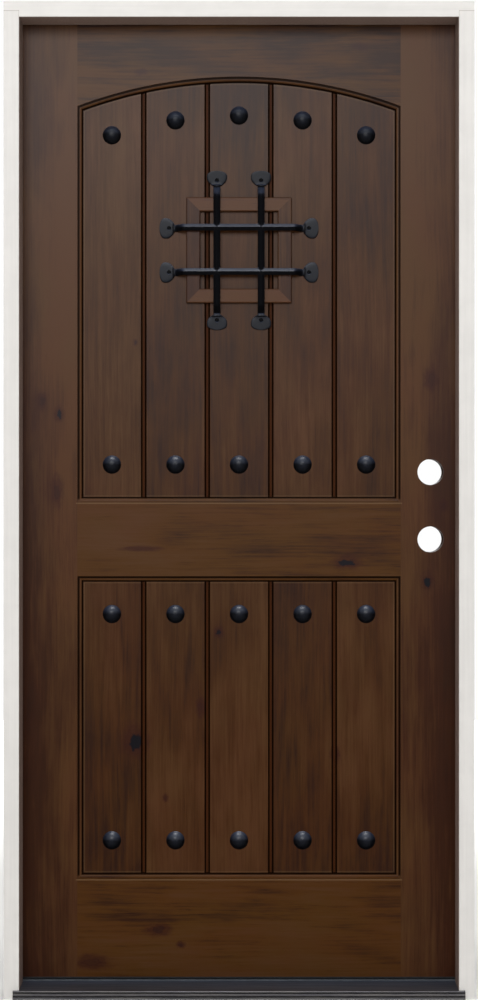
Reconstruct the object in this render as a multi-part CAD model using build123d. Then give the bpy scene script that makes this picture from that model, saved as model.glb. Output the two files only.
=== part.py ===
from build123d import *
import os
from math import asin, cos, sin

# Prehung front door, millimetres.
# X runs to the right seen from outside, Y towards the room, Z up.
# The origin is the middle of the sill's underside, half-way through the depth of the jambs.

# Leaf: two stiles, three rails and two plank panels
slab_width = 914.4
slab_height = 1981.2
slab_thickness = 44.45
stile_width = 122.2
bottom_rail_height = 202.0
lock_rail_height = 152.4
top_rail_height = 176.8
arch_rise = 61.0
lower_panel_share = 0.4331

# Sticking round the panels, and the groove that holds the planks and the rail tongues
sticking_width = 10.7
sticking_drop = 3.0
groove_depth = 5.3
groove_fit = 0.1
tongue_gap = 0.3

# Planks with tongues, grooves and a flat-bottomed channel between their faces
panel_thickness = 25.4
plank_count = 5
plank_edge_extra = 5.0
channel_width = 11.6
channel_flat = 4.4
plank_tongue_thickness = 9.0
plank_tongue_length = 7.0
plank_tongue_fit = 0.2
plank_gap = 0.3
plank_expansion = 2.0

# Dowels of the stile and rail joints, two at each rail end
dowel_radius = 6.35
dowel_length = 100.0
dowel_fit = 0.1
dowel_shares = (0.22, 0.78)

# Frame boards with their stop and seal kerf
jamb_depth = 115.9
rabbet_thickness = 19.05
stop_rise = 12.7
jamb_arris = 1.5
side_gap = 3.2
head_gap = 3.2
kerf_inset = 2.4
kerf_width = 3.0
kerf_depth = 9.0

# Compression seals
seal_gap = 4.5
seal_clearance = 0.3
seal_round = 1.6
seal_inset = 0.8

# Sill: bronze deck over a substrate block, with a well for the adjustable cap
nose_reach = 6.0
nose_height = 17.5
nose_round = 1.4
nose_groove_shares = (0.36, 0.8)
nose_groove_height = 2.8
nose_groove_depth = 1.2
deck_height = 20.0
deck_gauge = 2.0
well_set = 1.0
well_floor = 8.0
well_rear_height = 18.0

# Threshold cap and its adjuster screws
cap_width = 38.0
cap_top = 22.3
cap_thickness = 10.0
cap_play = 0.3
cap_arris = 1.5
adjuster_head_radius = 6.0
adjuster_head_depth = 3.0
adjuster_radius = 3.0
adjuster_end = 3.6
adjuster_clearance = 0.4
adjuster_fit = 0.1
adjuster_slot_width = 1.2
adjuster_slot_depth = 1.5
adjuster_shares = (-0.7, 0.0, 0.7)

# Bottom sweep of the leaf
sweep_height = 6.0
sweep_base = 2.0
sweep_inset = 1.5
sweep_fin = 1.6
sweep_fin_shares = (0.12, 0.5, 0.88)

# Butt hinges of the leaf
hinge_height = 101.6
hinge_reach = 38.0
hinge_gauge = 2.5
hinge_corner = 15.9
hinge_top_offset = 178.0
hinge_bottom_offset = 279.0
knuckle_radius = 6.35
knuckle_clearance = 0.3
knuckle_gap = 0.3
knuckle_count = 5
pin_radius = 3.5
pin_fit = 0.05
pin_head_height = 4.0
pin_tip_height = 3.0
pin_tip_radius = 5.0
mortise_fit = 0.15
hinge_screw_height_shares = (-0.36, -0.12, 0.12, 0.36)
hinge_screw_reach_shares = (0.36, 0.68, 0.68, 0.36)

# Countersunk screws: head radius, shank radius, head depth, length
hinge_screw_head = 4.7
hinge_screw_shank = 2.3
hinge_screw_head_depth = 2.2
hinge_screw_length = 17.5
frame_screw_head = 4.6
frame_screw_shank = 2.4
frame_screw_head_depth = 2.6
frame_screw_length = 60.0
small_screw_head = 3.4
small_screw_shank = 1.6
small_screw_head_depth = 1.7
small_screw_length = 12.0
screw_fit = 0.1
head_screw_shares = (-0.36, 0.0, 0.36)
sill_screw_shares = (-0.34, -0.08)
sill_screw_height = 5.0

# Lock preparation of the leaf and the strike jamb
bolt_spacing = 139.7
backset = 60.3
lock_bore_radius = 26.99
latch_bore_radius = 12.7
faceplate_height = 57.2
faceplate_width = 25.4
faceplate_depth = 2.5
faceplate_corner = 6.35
strike_height = 57.2
strike_width = 34.0
strike_depth = 2.0
strike_setback = 6.0
strike_bore_radius = 11.1

# Clavos
clavo_radius = 19.05
clavo_height = 12.5
clavo_shank_radius = 3.2
clavo_shank_length = 18.0
clavo_fit = 0.1
clavo_inset = 79.0

# Speakeasy window: cut-out, mitred trim and flap
window_share = 0.637
trim_outer = 218.0
trim_width = 28.6
trim_thickness = 11.0
trim_arris = 1.6
trim_lap = 9.0
flap_gap = 3.2

# Window grille: four bars, square on edge, with flattened spade feet
grille_margin = 4.0
grille_pitch_share = 0.57
bar_half_diagonal = 7.0
bar_clearance = 2.0
bar_ramp = 20.0
bar_flat_share = 0.8
spade_length = 32.0
spade_width = 42.0
spade_gauge = 4.0
spade_crown = 4.0
spade_lap = 2.0
spade_shoulder = 8.0
spade_swell_share = 0.7
spade_hole_share = 0.62
grille_screw_head = 4.2
grille_screw_shank = 2.2
grille_screw_head_depth = 2.2
grille_screw_length = 20.0

# Surface hinges of the flap
flap_hinge_height = 48.0
flap_hinge_reach = 30.0
flap_hinge_gauge = 2.0
flap_hinge_spacing_share = 0.638
flap_hinge_corner = 6.0
flap_knuckle_radius = 4.0
flap_knuckle_clearance = 0.4
flap_knuckle_count = 3
flap_pin_radius = 2.0
flap_pin_head_height = 2.0
flap_pin_head_radius = 3.4
flap_screw_reach_share = 0.62
flap_screw_height_share = 0.3

# Slide bolt of the flap
bolt_radius = 4.0
bolt_fit = 0.1
bolt_length = 44.0
bolt_travel = 14.0
housing_length = 44.0
housing_wall = 3.0
housing_setback = 2.0
housing_flange = 7.0
housing_gauge = 2.0
keeper_length = 13.0
keeper_setback = 3.0
keeper_fit = 0.3
knob_stem_radius = 2.2
knob_radius = 5.5
knob_reach = 13.0
knob_slot_fit = 0.4
knob_share = 0.34

overrun = 5.0

# Places that follow from the sizes
half_depth = jamb_depth / 2
half_slab = slab_width / 2
half_opening = half_slab - stile_width
rabbet_half = half_slab + side_gap
stop_half = rabbet_half - stop_rise
frame_half = rabbet_half + rabbet_thickness

leaf_inner_face = half_depth
leaf_outer_face = half_depth - slab_thickness
leaf_middle = half_depth - slab_thickness / 2
panel_outer_face = leaf_middle - panel_thickness / 2
panel_inner_face = leaf_middle + panel_thickness / 2
stop_face = leaf_outer_face - seal_gap

slab_bottom = cap_top + seal_clearance + sweep_height
slab_top = slab_bottom + slab_height
head_rabbet = slab_top + head_gap
frame_top = head_rabbet + rabbet_thickness

panel_heights = slab_height - bottom_rail_height - lock_rail_height - top_rail_height
lower_panel_bottom = slab_bottom + bottom_rail_height
lower_panel_top = lower_panel_bottom + panel_heights * lower_panel_share
upper_panel_bottom = lower_panel_top + lock_rail_height
arch_spring = slab_top - top_rail_height
arch_apex = arch_spring + arch_rise
arch_radius = (half_opening ** 2 + arch_rise ** 2) / (2 * arch_rise)
arch_centre = arch_apex - arch_radius
tongue_half = half_opening + groove_depth - tongue_gap
panel_half = half_opening + groove_depth - plank_expansion
plank_pitch = (2 * half_opening - 2 * plank_edge_extra) / plank_count
plank_numbers = range(1, plank_count + 1)

nose_front = -half_depth - nose_reach
well_front = leaf_outer_face + well_set
well_rear = well_front + cap_width + 2 * cap_play

hinge_pin_x = -half_slab - side_gap / 2
hinge_pin_y = half_depth + knuckle_radius + knuckle_clearance
hinge_levels = {
    "top": slab_top - hinge_top_offset - hinge_height / 2,
    "middle": (slab_top - hinge_top_offset + slab_bottom + hinge_bottom_offset) / 2,
    "bottom": slab_bottom + hinge_bottom_offset + hinge_height / 2,
}

lock_x = half_slab - backset
lock_level = lower_panel_top + lock_rail_height / 2
lock_levels = (lock_level, lock_level + bolt_spacing)

window_level = upper_panel_bottom + (arch_spring - upper_panel_bottom) * window_share
trim_half = trim_outer / 2
trim_inner_half = trim_half - trim_width
window_half = trim_inner_half + trim_lap
flap_half = window_half - flap_gap
grille_length = trim_outer + 2 * (spade_length + bar_ramp + grille_margin)
grille_pitch = 2 * trim_inner_half * grille_pitch_share
flap_pin_x = -window_half + flap_gap / 2
flap_pin_y = panel_inner_face + flap_knuckle_radius + flap_knuckle_clearance
flap_hinge_levels = {
    "upper": window_level + flap_half * flap_hinge_spacing_share,
    "lower": window_level - flap_half * flap_hinge_spacing_share,
}

bolt_y = panel_inner_face + housing_gauge + bolt_radius + bolt_fit
housing_end = flap_half - housing_setback
housing_start = housing_end - housing_length
housing_half = bolt_radius + bolt_fit + housing_wall
keeper_start = window_half + keeper_setback
knob_x = housing_start + housing_length * knob_share


def block(x_low, x_high, y_low, y_high, z_low, z_high):
    """Rectangular block between two opposite corners."""
    place = Pos((x_low + x_high) / 2, (y_low + y_high) / 2, (z_low + z_high) / 2)
    return place * Box(x_high - x_low, y_high - y_low, z_high - z_low)


def rod(radius, start, end):
    """Round bar between two points."""
    path = Vector(*end) - Vector(*start)
    foot = (Align.CENTER, Align.CENTER, Align.MIN)
    return Plane(origin=start, z_dir=path) * Cylinder(radius, path.length, align=foot)


def outline(*points):
    """Flat face inside a closed run of straight edges."""
    return make_face(Polyline(*points, close=True))


def along_x(points, x_low, x_high):
    """Prism along X of a closed outline given as (y, z) points."""
    base = Plane(origin=(x_low, 0, 0), x_dir=(0, 1, 0), z_dir=(1, 0, 0))
    return extrude(base * outline(*points), x_high - x_low)


def group(solids):
    """Several separate solids of one node."""
    return Compound(children=list(solids))


def screw(head, shank, head_depth, length, fit=0):
    """Countersunk screw pointing down from the origin; a fit widens it into its hole."""
    tip = shank + fit
    profile = outline(
        (0, 0),
        (head + fit, 0),
        (shank + fit, -head_depth),
        (shank + fit, tip - length - fit),
        (0, -length - fit),
    )
    return revolve(Plane.XZ * profile, Axis.Z)


def hinge_screw(fit=0):
    return screw(hinge_screw_head, hinge_screw_shank, hinge_screw_head_depth, hinge_screw_length, fit)


def frame_screw(fit=0):
    return screw(frame_screw_head, frame_screw_shank, frame_screw_head_depth, frame_screw_length, fit)


def small_screw(fit=0):
    return screw(small_screw_head, small_screw_shank, small_screw_head_depth, small_screw_length, fit)


def grille_screw(fit=0):
    return screw(grille_screw_head, grille_screw_shank, grille_screw_head_depth, grille_screw_length, fit)


def placed(planes, shape):
    """The shape at each of a list of planes or places."""
    return [plane * shape for plane in planes]


def cutter_profile():
    """Waste beside an inner edge: a drop, a land and a quarter round on each face, and the groove."""
    face = slab_thickness / 2
    wall = panel_thickness / 2 + groove_fit
    radius = face - sticking_drop - wall
    land = sticking_width - radius
    reach = sticking_width + overrun
    edges = Polyline(
        (land, face - sticking_drop),
        (0, face - sticking_drop),
        (0, face + overrun),
        (reach, face + overrun),
        (reach, wall),
        (sticking_width, wall),
    )
    quarter = CenterArc((land, wall), radius, 0, 90)
    waste = make_face([*edges.edges(), *quarter.edges()])
    groove = outline((-groove_depth, -wall), (reach, -wall), (reach, wall), (-groove_depth, wall))
    return waste + mirror(waste, about=Plane.XZ) + groove


def hinge_plate(mid, fit=0, cut=0):
    """Outline of a hinge plate in Y and Z, with its two inner corners rounded."""
    half = hinge_height / 2 + fit
    plate = outline(
        (half_depth - hinge_reach - fit, mid - half),
        (half_depth + cut, mid - half),
        (half_depth + cut, mid + half),
        (half_depth - hinge_reach - fit, mid + half),
    )
    return fillet(plate.vertices().sort_by(Axis.X)[:2], hinge_corner + fit)


def hinge_slab(mid, x_face, side, fit=0, cut=0):
    """Plate let into the wood behind the face at x_face, on the given side of the hinge gap."""
    base = Plane(origin=(x_face, 0, 0), x_dir=(0, 1, 0), z_dir=(1, 0, 0))
    return extrude(base * hinge_plate(mid, fit, cut), side * hinge_gauge)


def hinge_screw_planes(x_face, side):
    """Screw places of the three plates on one side of the hinge gap."""
    planes = []
    for mid in hinge_levels.values():
        for up_share, in_share in zip(hinge_screw_height_shares, hinge_screw_reach_shares):
            point = (x_face, half_depth - hinge_reach * in_share, mid + hinge_height * up_share)
            planes.append(Plane(origin=point, z_dir=(-side, 0, 0)))
    return planes


def hinge_leaf(mid, x_face, side, knuckles):
    """Plate with its own knuckles rolled round the pin line."""
    leaf = hinge_slab(mid, x_face, side)
    span = hinge_height / knuckle_count
    for index in knuckles:
        low = mid - hinge_height / 2 + span * index + knuckle_gap / 2
        high = low + span - knuckle_gap
        sides = sorted((x_face, x_face + side * hinge_gauge))
        leaf += block(*sides, half_depth - hinge_gauge, hinge_pin_y, low, high)
        leaf += rod(knuckle_radius, (hinge_pin_x, hinge_pin_y, low), (hinge_pin_x, hinge_pin_y, high))
    bore_low = (hinge_pin_x, hinge_pin_y, mid - hinge_height)
    bore_high = (hinge_pin_x, hinge_pin_y, mid + hinge_height)
    leaf -= rod(pin_radius + pin_fit, bore_low, bore_high)
    for plane in hinge_screw_planes(x_face, side):
        if abs(plane.origin.Z - mid) < hinge_height / 2:
            leaf -= plane * hinge_screw(screw_fit)
    return leaf


def hinge_pin(mid):
    """Loose pin with a button head on the top knuckle and a tip below the bottom one."""
    low = mid - hinge_height / 2 + knuckle_gap / 2
    high = mid + hinge_height / 2 - knuckle_gap / 2
    point = (hinge_pin_x, hinge_pin_y)
    pin = rod(pin_radius, (*point, low), (*point, high))
    head = rod(knuckle_radius, (*point, high), (*point, high + pin_head_height))
    tip = rod(pin_tip_radius, (*point, low - pin_tip_height), (*point, low))
    head = fillet(head.edges().sort_by(Axis.Z)[-1], pin_head_height / 2)
    return pin + head + tip


def dowel_places():
    """Joint line point of every dowel: side of the leaf and level."""
    rails = (
        (slab_bottom, lower_panel_bottom),
        (lower_panel_top, upper_panel_bottom),
        (arch_spring, slab_top),
    )
    places = []
    for side in (-1, 1):
        for low, high in rails:
            for share in dowel_shares:
                places.append((side, low + (high - low) * share))
    return places


def dowel(side, level, fit=0):
    reach = dowel_length / 2 + fit
    start = (side * half_opening - reach, leaf_middle, level)
    end = (side * half_opening + reach, leaf_middle, level)
    return rod(dowel_radius + fit, start, end)


def stile(side):
    """Full height upright with sticking and groove on its inner edge."""
    edges = sorted((side * half_slab, side * (half_opening - sticking_width)))
    body = block(*edges, leaf_outer_face, leaf_inner_face, slab_bottom, slab_top)
    foot = (side * half_opening, leaf_middle, slab_bottom - overrun)
    base = Plane(origin=foot, x_dir=(-side, 0, 0), z_dir=(0, 0, 1))
    body -= extrude(base * cutter_profile(), slab_height + 2 * overrun)
    for dowel_side, level in dowel_places():
        if dowel_side == side:
            body -= dowel(side, level, dowel_fit)
    return body


def make_hinge_stile():
    body = stile(-1)
    for mid in hinge_levels.values():
        body -= hinge_slab(mid, -half_slab, 1, mortise_fit, overrun)
    for hole in placed(hinge_screw_planes(-half_slab, 1), hinge_screw(screw_fit)):
        body -= hole
    return body


def rounded_pocket(x_face, depth, y_middle, level, width, height, corner):
    """Shallow pocket sunk from a face across X, with rounded corners."""
    base = Plane(origin=(x_face, y_middle, level), x_dir=(0, 1, 0), z_dir=(1, 0, 0))
    return extrude(base * RectangleRounded(width, height, corner), depth)


def make_lock_stile():
    body = stile(1)
    for level in lock_levels:
        front = (lock_x, leaf_outer_face - overrun, level)
        back = (lock_x, leaf_inner_face + overrun, level)
        body -= rod(lock_bore_radius, front, back)
        body -= rod(latch_bore_radius, (lock_x, leaf_middle, level), (half_slab, leaf_middle, level))
        body -= rounded_pocket(
            half_slab, -faceplate_depth, leaf_middle, level,
            faceplate_width, faceplate_height, faceplate_corner,
        )
    return body


def rail_blank(z_low, z_high):
    return block(-tongue_half, tongue_half, leaf_outer_face, leaf_inner_face, z_low, z_high)


def rail_edge(level, up):
    """Sticking and groove waste along a level rail edge that faces up or down."""
    start = (-half_slab, leaf_middle, level)
    base = Plane(origin=start, x_dir=(0, 0, up), z_dir=(1, 0, 0))
    return extrude(base * cutter_profile(), slab_width)


def fitted_rail(body, stiles):
    """Rail with its ends coped to the stiles and drilled for its dowels."""
    for upright in stiles:
        body -= upright
    box = body.bounding_box()
    for side, level in dowel_places():
        if box.min.Z < level < box.max.Z:
            body -= dowel(side, level, dowel_fit)
    return body


def make_bottom_rail(stiles):
    body = rail_blank(slab_bottom, lower_panel_bottom + sticking_width)
    return fitted_rail(body - rail_edge(lower_panel_bottom, 1), stiles)


def make_lock_rail(stiles):
    body = rail_blank(lower_panel_top - sticking_width, upper_panel_bottom + sticking_width)
    body -= rail_edge(lower_panel_top, -1)
    return fitted_rail(body - rail_edge(upper_panel_bottom, 1), stiles)


def arch_disc(radius):
    """Round disc through the leaf about the centre of the arch."""
    front = (0, leaf_outer_face - overrun, arch_centre)
    back = (0, leaf_inner_face + overrun, arch_centre)
    return rod(radius, front, back)


def make_top_rail(stiles):
    """Top rail with an arched lower edge that carries the same sticking round the curve."""
    body = rail_blank(arch_spring - 2 * sticking_width, slab_top)
    body -= arch_disc(arch_radius - sticking_width)
    base = Plane(origin=(0, leaf_middle, arch_apex), x_dir=(0, 0, -1), z_dir=(1, 0, 0))
    axis = Axis(origin=(0, leaf_middle, arch_centre), direction=(0, 1, 0))
    body -= revolve(base * cutter_profile(), axis)
    return fitted_rail(body, stiles)


def plank_left(boundary):
    """Upper half of a plank's grooved edge, from the middle outwards to the face."""
    face = panel_thickness / 2
    bevel = (channel_width - channel_flat) / 2
    slot = plank_tongue_thickness / 2 + plank_tongue_fit
    nose = boundary + channel_flat / 2 + plank_gap
    return [
        (nose + plank_tongue_length, slot),
        (nose, slot),
        (nose, face - bevel),
        (nose + bevel, face),
    ]


def plank_right(boundary):
    """Upper half of a plank's tongued edge, from the face inwards to the tongue's end."""
    face = panel_thickness / 2
    bevel = (channel_width - channel_flat) / 2
    tongue = plank_tongue_thickness / 2
    shoulder = boundary + channel_flat / 2
    return [
        (boundary - channel_width / 2, face),
        (boundary - channel_flat / 2, face - bevel),
        (shoulder, face - bevel),
        (shoulder, tongue),
        (shoulder + plank_tongue_length, tongue),
    ]


def plank(number, z_low, z_high):
    """One of the planks, counted from the hinge side, with plain outer edges."""
    face = panel_thickness / 2
    left = [(-panel_half, face)]
    if number > 1:
        left = plank_left(plank_pitch * (number - 1 - plank_count / 2))
    right = [(panel_half, face)]
    if number < plank_count:
        right = plank_right(plank_pitch * (number - plank_count / 2))
    upper = left + right
    lower = [(x, -y) for x, y in reversed(upper)]
    base = Plane(origin=(0, leaf_middle, z_low))
    return extrude(base * outline(*upper, *lower), z_high - z_low)


def clavo_rows():
    """Clavo places of the two panels, one on each plank in each row."""
    row_radius = arch_radius - clavo_inset
    middle = (plank_count + 1) / 2
    columns = [plank_pitch * (number - middle) for number in plank_numbers]
    upper = []
    lower = []
    for x in columns:
        upper.append((x, arch_centre + (row_radius ** 2 - x ** 2) ** 0.5))
        upper.append((x, upper_panel_bottom + clavo_inset))
        lower.append((x, lower_panel_top - clavo_inset))
        lower.append((x, lower_panel_bottom + clavo_inset))
    return upper, lower


def clavo_planes(places):
    return [Plane(origin=(x, panel_outer_face, z), z_dir=(0, -1, 0)) for x, z in places]


def clavo():
    """Domed nail head with its shank."""
    sphere = (clavo_radius ** 2 + clavo_height ** 2) / (2 * clavo_height)
    half_turn = asin(clavo_radius / sphere) / 2
    middle = (sphere * sin(half_turn), clavo_height - sphere + sphere * cos(half_turn))
    dome = ThreePointArc((clavo_radius, 0), middle, (0, clavo_height))
    edges = Polyline(
        (0, clavo_height),
        (0, -clavo_shank_length),
        (clavo_shank_radius, -clavo_shank_length),
        (clavo_shank_radius, 0),
        (clavo_radius, 0),
    )
    profile = make_face([*dome.edges(), *edges.edges()])
    return revolve(Plane.XZ * profile, Axis.Z)


def clavo_holes(places):
    depth = clavo_shank_length + clavo_fit
    hole = Cylinder(clavo_shank_radius + clavo_fit, 2 * depth)
    return placed(clavo_planes(places), hole)


def window_cut(half_width):
    front = panel_outer_face - overrun
    back = panel_inner_face + overrun
    return block(
        -half_width, half_width, front, back,
        window_level - window_half, window_level + window_half,
    )


def make_upper_planks():
    """Upper planks under the arch; the middle one is in two lengths, round the window."""
    low = upper_panel_bottom - groove_depth
    high = arch_apex + groove_depth
    holes = clavo_holes(clavo_rows()[0]) + panel_screw_holes()
    holes += placed(grille_screw_planes(), grille_screw(screw_fit))
    planks = {}
    for number in plank_numbers:
        body = plank(number, low, high) & arch_disc(arch_radius + groove_depth - plank_expansion)
        middle = number == (plank_count + 1) / 2
        body -= window_cut(max(window_half, plank_pitch) if middle else window_half)
        box = body.bounding_box()
        for hole in holes:
            spot = hole.center()
            if box.min.X < spot.X < box.max.X:
                body -= hole
        name = "upper_plank_" + str(number)
        pieces = body.solids().sort_by(Axis.Z)
        if len(pieces) > 1:
            planks[name + "_low"] = pieces[0]
            planks[name + "_high"] = pieces[-1]
        else:
            planks[name] = body
    return planks


def make_lower_planks():
    low = lower_panel_bottom - groove_depth
    high = lower_panel_top + groove_depth - plank_expansion
    holes = clavo_holes(clavo_rows()[1])
    planks = {}
    for number in plank_numbers:
        body = plank(number, low, high)
        box = body.bounding_box()
        for hole in holes:
            if box.min.X < hole.center().X < box.max.X:
                body -= hole
        planks["lower_plank_" + str(number)] = body
    return planks


def make_door_sweep():
    """Flexible strip under the leaf with three fins that brush the threshold cap."""
    front = leaf_outer_face + sweep_inset
    back = leaf_inner_face - sweep_inset
    base_low = slab_bottom - sweep_base
    body = block(-half_slab, half_slab, front, back, base_low, slab_bottom)
    for share in sweep_fin_shares:
        middle = front + (back - front) * share
        body += block(
            -half_slab, half_slab, middle - sweep_fin / 2, middle + sweep_fin / 2,
            slab_bottom - sweep_height, base_low,
        )
    return body


def jamb_section():
    """Frame board section: distance from the rabbet face towards the doorway, and depth."""
    body = outline(
        (-rabbet_thickness, -half_depth),
        (stop_rise - jamb_arris, -half_depth),
        (stop_rise, -half_depth + jamb_arris),
        (stop_rise, stop_face),
        (0, stop_face),
        (0, half_depth),
        (-rabbet_thickness, half_depth),
    )
    kerf = outline(
        (kerf_inset, stop_face - kerf_depth),
        (kerf_inset + kerf_width, stop_face - kerf_depth),
        (kerf_inset + kerf_width, stop_face + overrun),
        (kerf_inset, stop_face + overrun),
    )
    return body - kerf


def seal_section():
    """Bulb against the stop with a fin in the kerf, in the same axes as the frame board."""
    bulb = outline(
        (seal_inset, stop_face),
        (stop_rise, stop_face),
        (stop_rise, leaf_outer_face - seal_clearance),
        (seal_inset, leaf_outer_face - seal_clearance),
    )
    bulb = fillet(bulb.vertices(), seal_round)
    fin = outline(
        (kerf_inset + seal_clearance, stop_face - kerf_depth + seal_clearance),
        (kerf_inset + kerf_width - seal_clearance, stop_face - kerf_depth + seal_clearance),
        (kerf_inset + kerf_width - seal_clearance, stop_face + seal_round),
        (kerf_inset + seal_clearance, stop_face + seal_round),
    )
    return bulb + fin


def leg_plane(level):
    return Plane(origin=(-rabbet_half, 0, level))


def head_plane(x_low):
    return Plane(origin=(x_low, 0, head_rabbet), x_dir=(0, 0, -1), z_dir=(1, 0, 0))


def sill_points():
    """Outer outline of the sill in Y and Z: nose, sloping deck, cap well and rear edge."""
    return [
        (nose_front, 0),
        (nose_front, nose_height),
        (well_front, deck_height),
        (well_front, well_floor),
        (well_rear, well_floor),
        (well_rear, well_rear_height),
        (half_depth, well_rear_height),
        (half_depth, 0),
    ]


def substrate_points():
    """Outline of the block under the deck, one wall thickness inside the sill."""
    return [
        (nose_front + deck_gauge, 0),
        (nose_front + deck_gauge, nose_height - deck_gauge),
        (well_front - deck_gauge, deck_height - deck_gauge),
        (well_front - deck_gauge, well_floor - deck_gauge),
        (well_rear + deck_gauge, well_floor - deck_gauge),
        (well_rear + deck_gauge, well_rear_height - deck_gauge),
        (half_depth, well_rear_height - deck_gauge),
        (half_depth, 0),
    ]


def adjuster_points():
    middle = (well_front + well_rear) / 2
    return [(rabbet_half * share, middle) for share in adjuster_shares]


def adjuster_holes():
    """Clearance holes for the adjusters through the well floor and the block under it."""
    radius = adjuster_radius + adjuster_clearance
    return [rod(radius, (x, y, -overrun), (x, y, well_floor + overrun)) for x, y in adjuster_points()]


def make_sill_deck():
    body = along_x(sill_points(), -rabbet_half, rabbet_half)
    nose = body.edges().filter_by(Axis.X).filter_by_position(Axis.Y, nose_front, nose_front)
    body = fillet(nose.sort_by(Axis.Z)[-1], min(nose_round, nose_height / 2))
    body -= along_x(substrate_points(), -rabbet_half, rabbet_half)
    for share in nose_groove_shares:
        groove_low = nose_height * share - nose_groove_height / 2
        body -= block(
            -rabbet_half, rabbet_half, nose_front - overrun, nose_front + nose_groove_depth,
            groove_low, groove_low + nose_groove_height,
        )
    for hole in adjuster_holes():
        body -= hole
    return body


def make_sill_substrate():
    body = along_x(substrate_points(), -rabbet_half, rabbet_half)
    for hole in adjuster_holes() + placed(sill_screw_planes(), frame_screw(screw_fit)):
        body -= hole
    return body


def make_threshold_cap():
    """Bar under the leaf with eased top edges and counterbored adjuster holes."""
    front = well_front + cap_play
    back = well_rear - cap_play
    low = cap_top - cap_thickness
    body = along_x(
        [
            (front, low),
            (front, cap_top - cap_arris),
            (front + cap_arris, cap_top),
            (back - cap_arris, cap_top),
            (back, cap_top - cap_arris),
            (back, low),
        ],
        -rabbet_half + cap_play,
        rabbet_half - cap_play,
    )
    for x, y in adjuster_points():
        seat = cap_top - adjuster_head_depth
        body -= rod(adjuster_head_radius + adjuster_fit, (x, y, seat), (x, y, cap_top + overrun))
        body -= rod(adjuster_radius + adjuster_fit, (x, y, low - overrun), (x, y, seat + overrun))
    return body


def make_cap_adjusters():
    screws = []
    for x, y in adjuster_points():
        seat = cap_top - adjuster_head_depth
        body = rod(adjuster_head_radius, (x, y, seat), (x, y, cap_top))
        body += rod(adjuster_radius, (x, y, adjuster_end), (x, y, seat))
        body -= block(
            x - adjuster_head_radius, x + adjuster_head_radius,
            y - adjuster_slot_width / 2, y + adjuster_slot_width / 2,
            cap_top - adjuster_slot_depth, cap_top + overrun,
        )
        screws.append(body)
    return group(screws)


def head_screw_planes():
    """Screws down through the head board into the tops of the legs."""
    planes = []
    for side in (-1, 1):
        for share in head_screw_shares:
            x = side * (rabbet_half + rabbet_thickness / 2)
            planes.append(Plane(origin=(x, jamb_depth * share, frame_top), z_dir=(0, 0, 1)))
    return planes


def sill_screw_planes():
    """Screws through the feet of the legs into the ends of the sill block."""
    planes = []
    for side in (-1, 1):
        for share in sill_screw_shares:
            point = (side * frame_half, jamb_depth * share, sill_screw_height)
            planes.append(Plane(origin=point, z_dir=(side, 0, 0)))
    return planes


def leg(side):
    """Frame leg on the floor beside the sill, with its stop notched over the deck."""
    body = extrude(leg_plane(0) * jamb_section(), head_rabbet)
    if side > 0:
        body = mirror(body, about=Plane.YZ)
    body -= along_x(sill_points(), -rabbet_half, rabbet_half)
    for hole in placed(head_screw_planes() + sill_screw_planes(), frame_screw(screw_fit)):
        if hole.center().X * side > 0:
            body -= hole
    return body


def make_hinge_jamb():
    body = leg(-1)
    for mid in hinge_levels.values():
        body -= hinge_slab(mid, -rabbet_half, -1, mortise_fit, overrun)
    for hole in placed(hinge_screw_planes(-rabbet_half, -1), hinge_screw(screw_fit)):
        body -= hole
    return body


def make_strike_jamb():
    """Leg with a mortise and a bolt hole for each strike."""
    body = leg(1)
    strike_middle = leaf_inner_face - strike_setback - strike_width / 2
    for level in lock_levels:
        body -= rounded_pocket(
            rabbet_half, strike_depth, strike_middle, level,
            strike_width, strike_height, faceplate_corner,
        )
        start = (rabbet_half - overrun, leaf_middle, level)
        body -= rod(strike_bore_radius, start, (frame_half + overrun, leaf_middle, level))
    return body


def make_head_jamb():
    """Head board across the tops of the legs, with its stop between theirs."""
    body = extrude(head_plane(-frame_half) * jamb_section(), 2 * frame_half)
    stop_low = head_rabbet - stop_rise - overrun
    for side in (-1, 1):
        ends = sorted((side * stop_half, side * (frame_half + overrun)))
        body -= block(*ends, -half_depth - overrun, half_depth + overrun, stop_low, head_rabbet)
    for hole in placed(head_screw_planes(), frame_screw(screw_fit)):
        body -= hole
    return body


def make_side_seal(side):
    low = deck_height + seal_clearance
    high = head_rabbet - seal_inset
    body = extrude(leg_plane(low) * seal_section(), high - low)
    return mirror(body, about=Plane.YZ) if side > 0 else body


def make_head_seal():
    half = stop_half - seal_clearance
    return extrude(head_plane(-half) * seal_section(), 2 * half)


def trim_piece(turn):
    """Mitred trim strip, turned about the middle of the window."""
    strip = outline(
        (-trim_half, trim_half),
        (trim_half, trim_half),
        (trim_inner_half, trim_inner_half),
        (-trim_inner_half, trim_inner_half),
    )
    base = Plane(origin=(0, 0, 0), x_dir=(1, 0, 0), z_dir=(0, -1, 0))
    body = extrude(base * strip, trim_thickness)
    front = body.edges().filter_by(Axis.X).filter_by_position(Axis.Y, -trim_thickness, -trim_thickness)
    body = chamfer(front, min(trim_arris, trim_thickness / 2))
    return Pos(0, panel_outer_face, window_level) * Rot(0, turn, 0) * body


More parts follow.
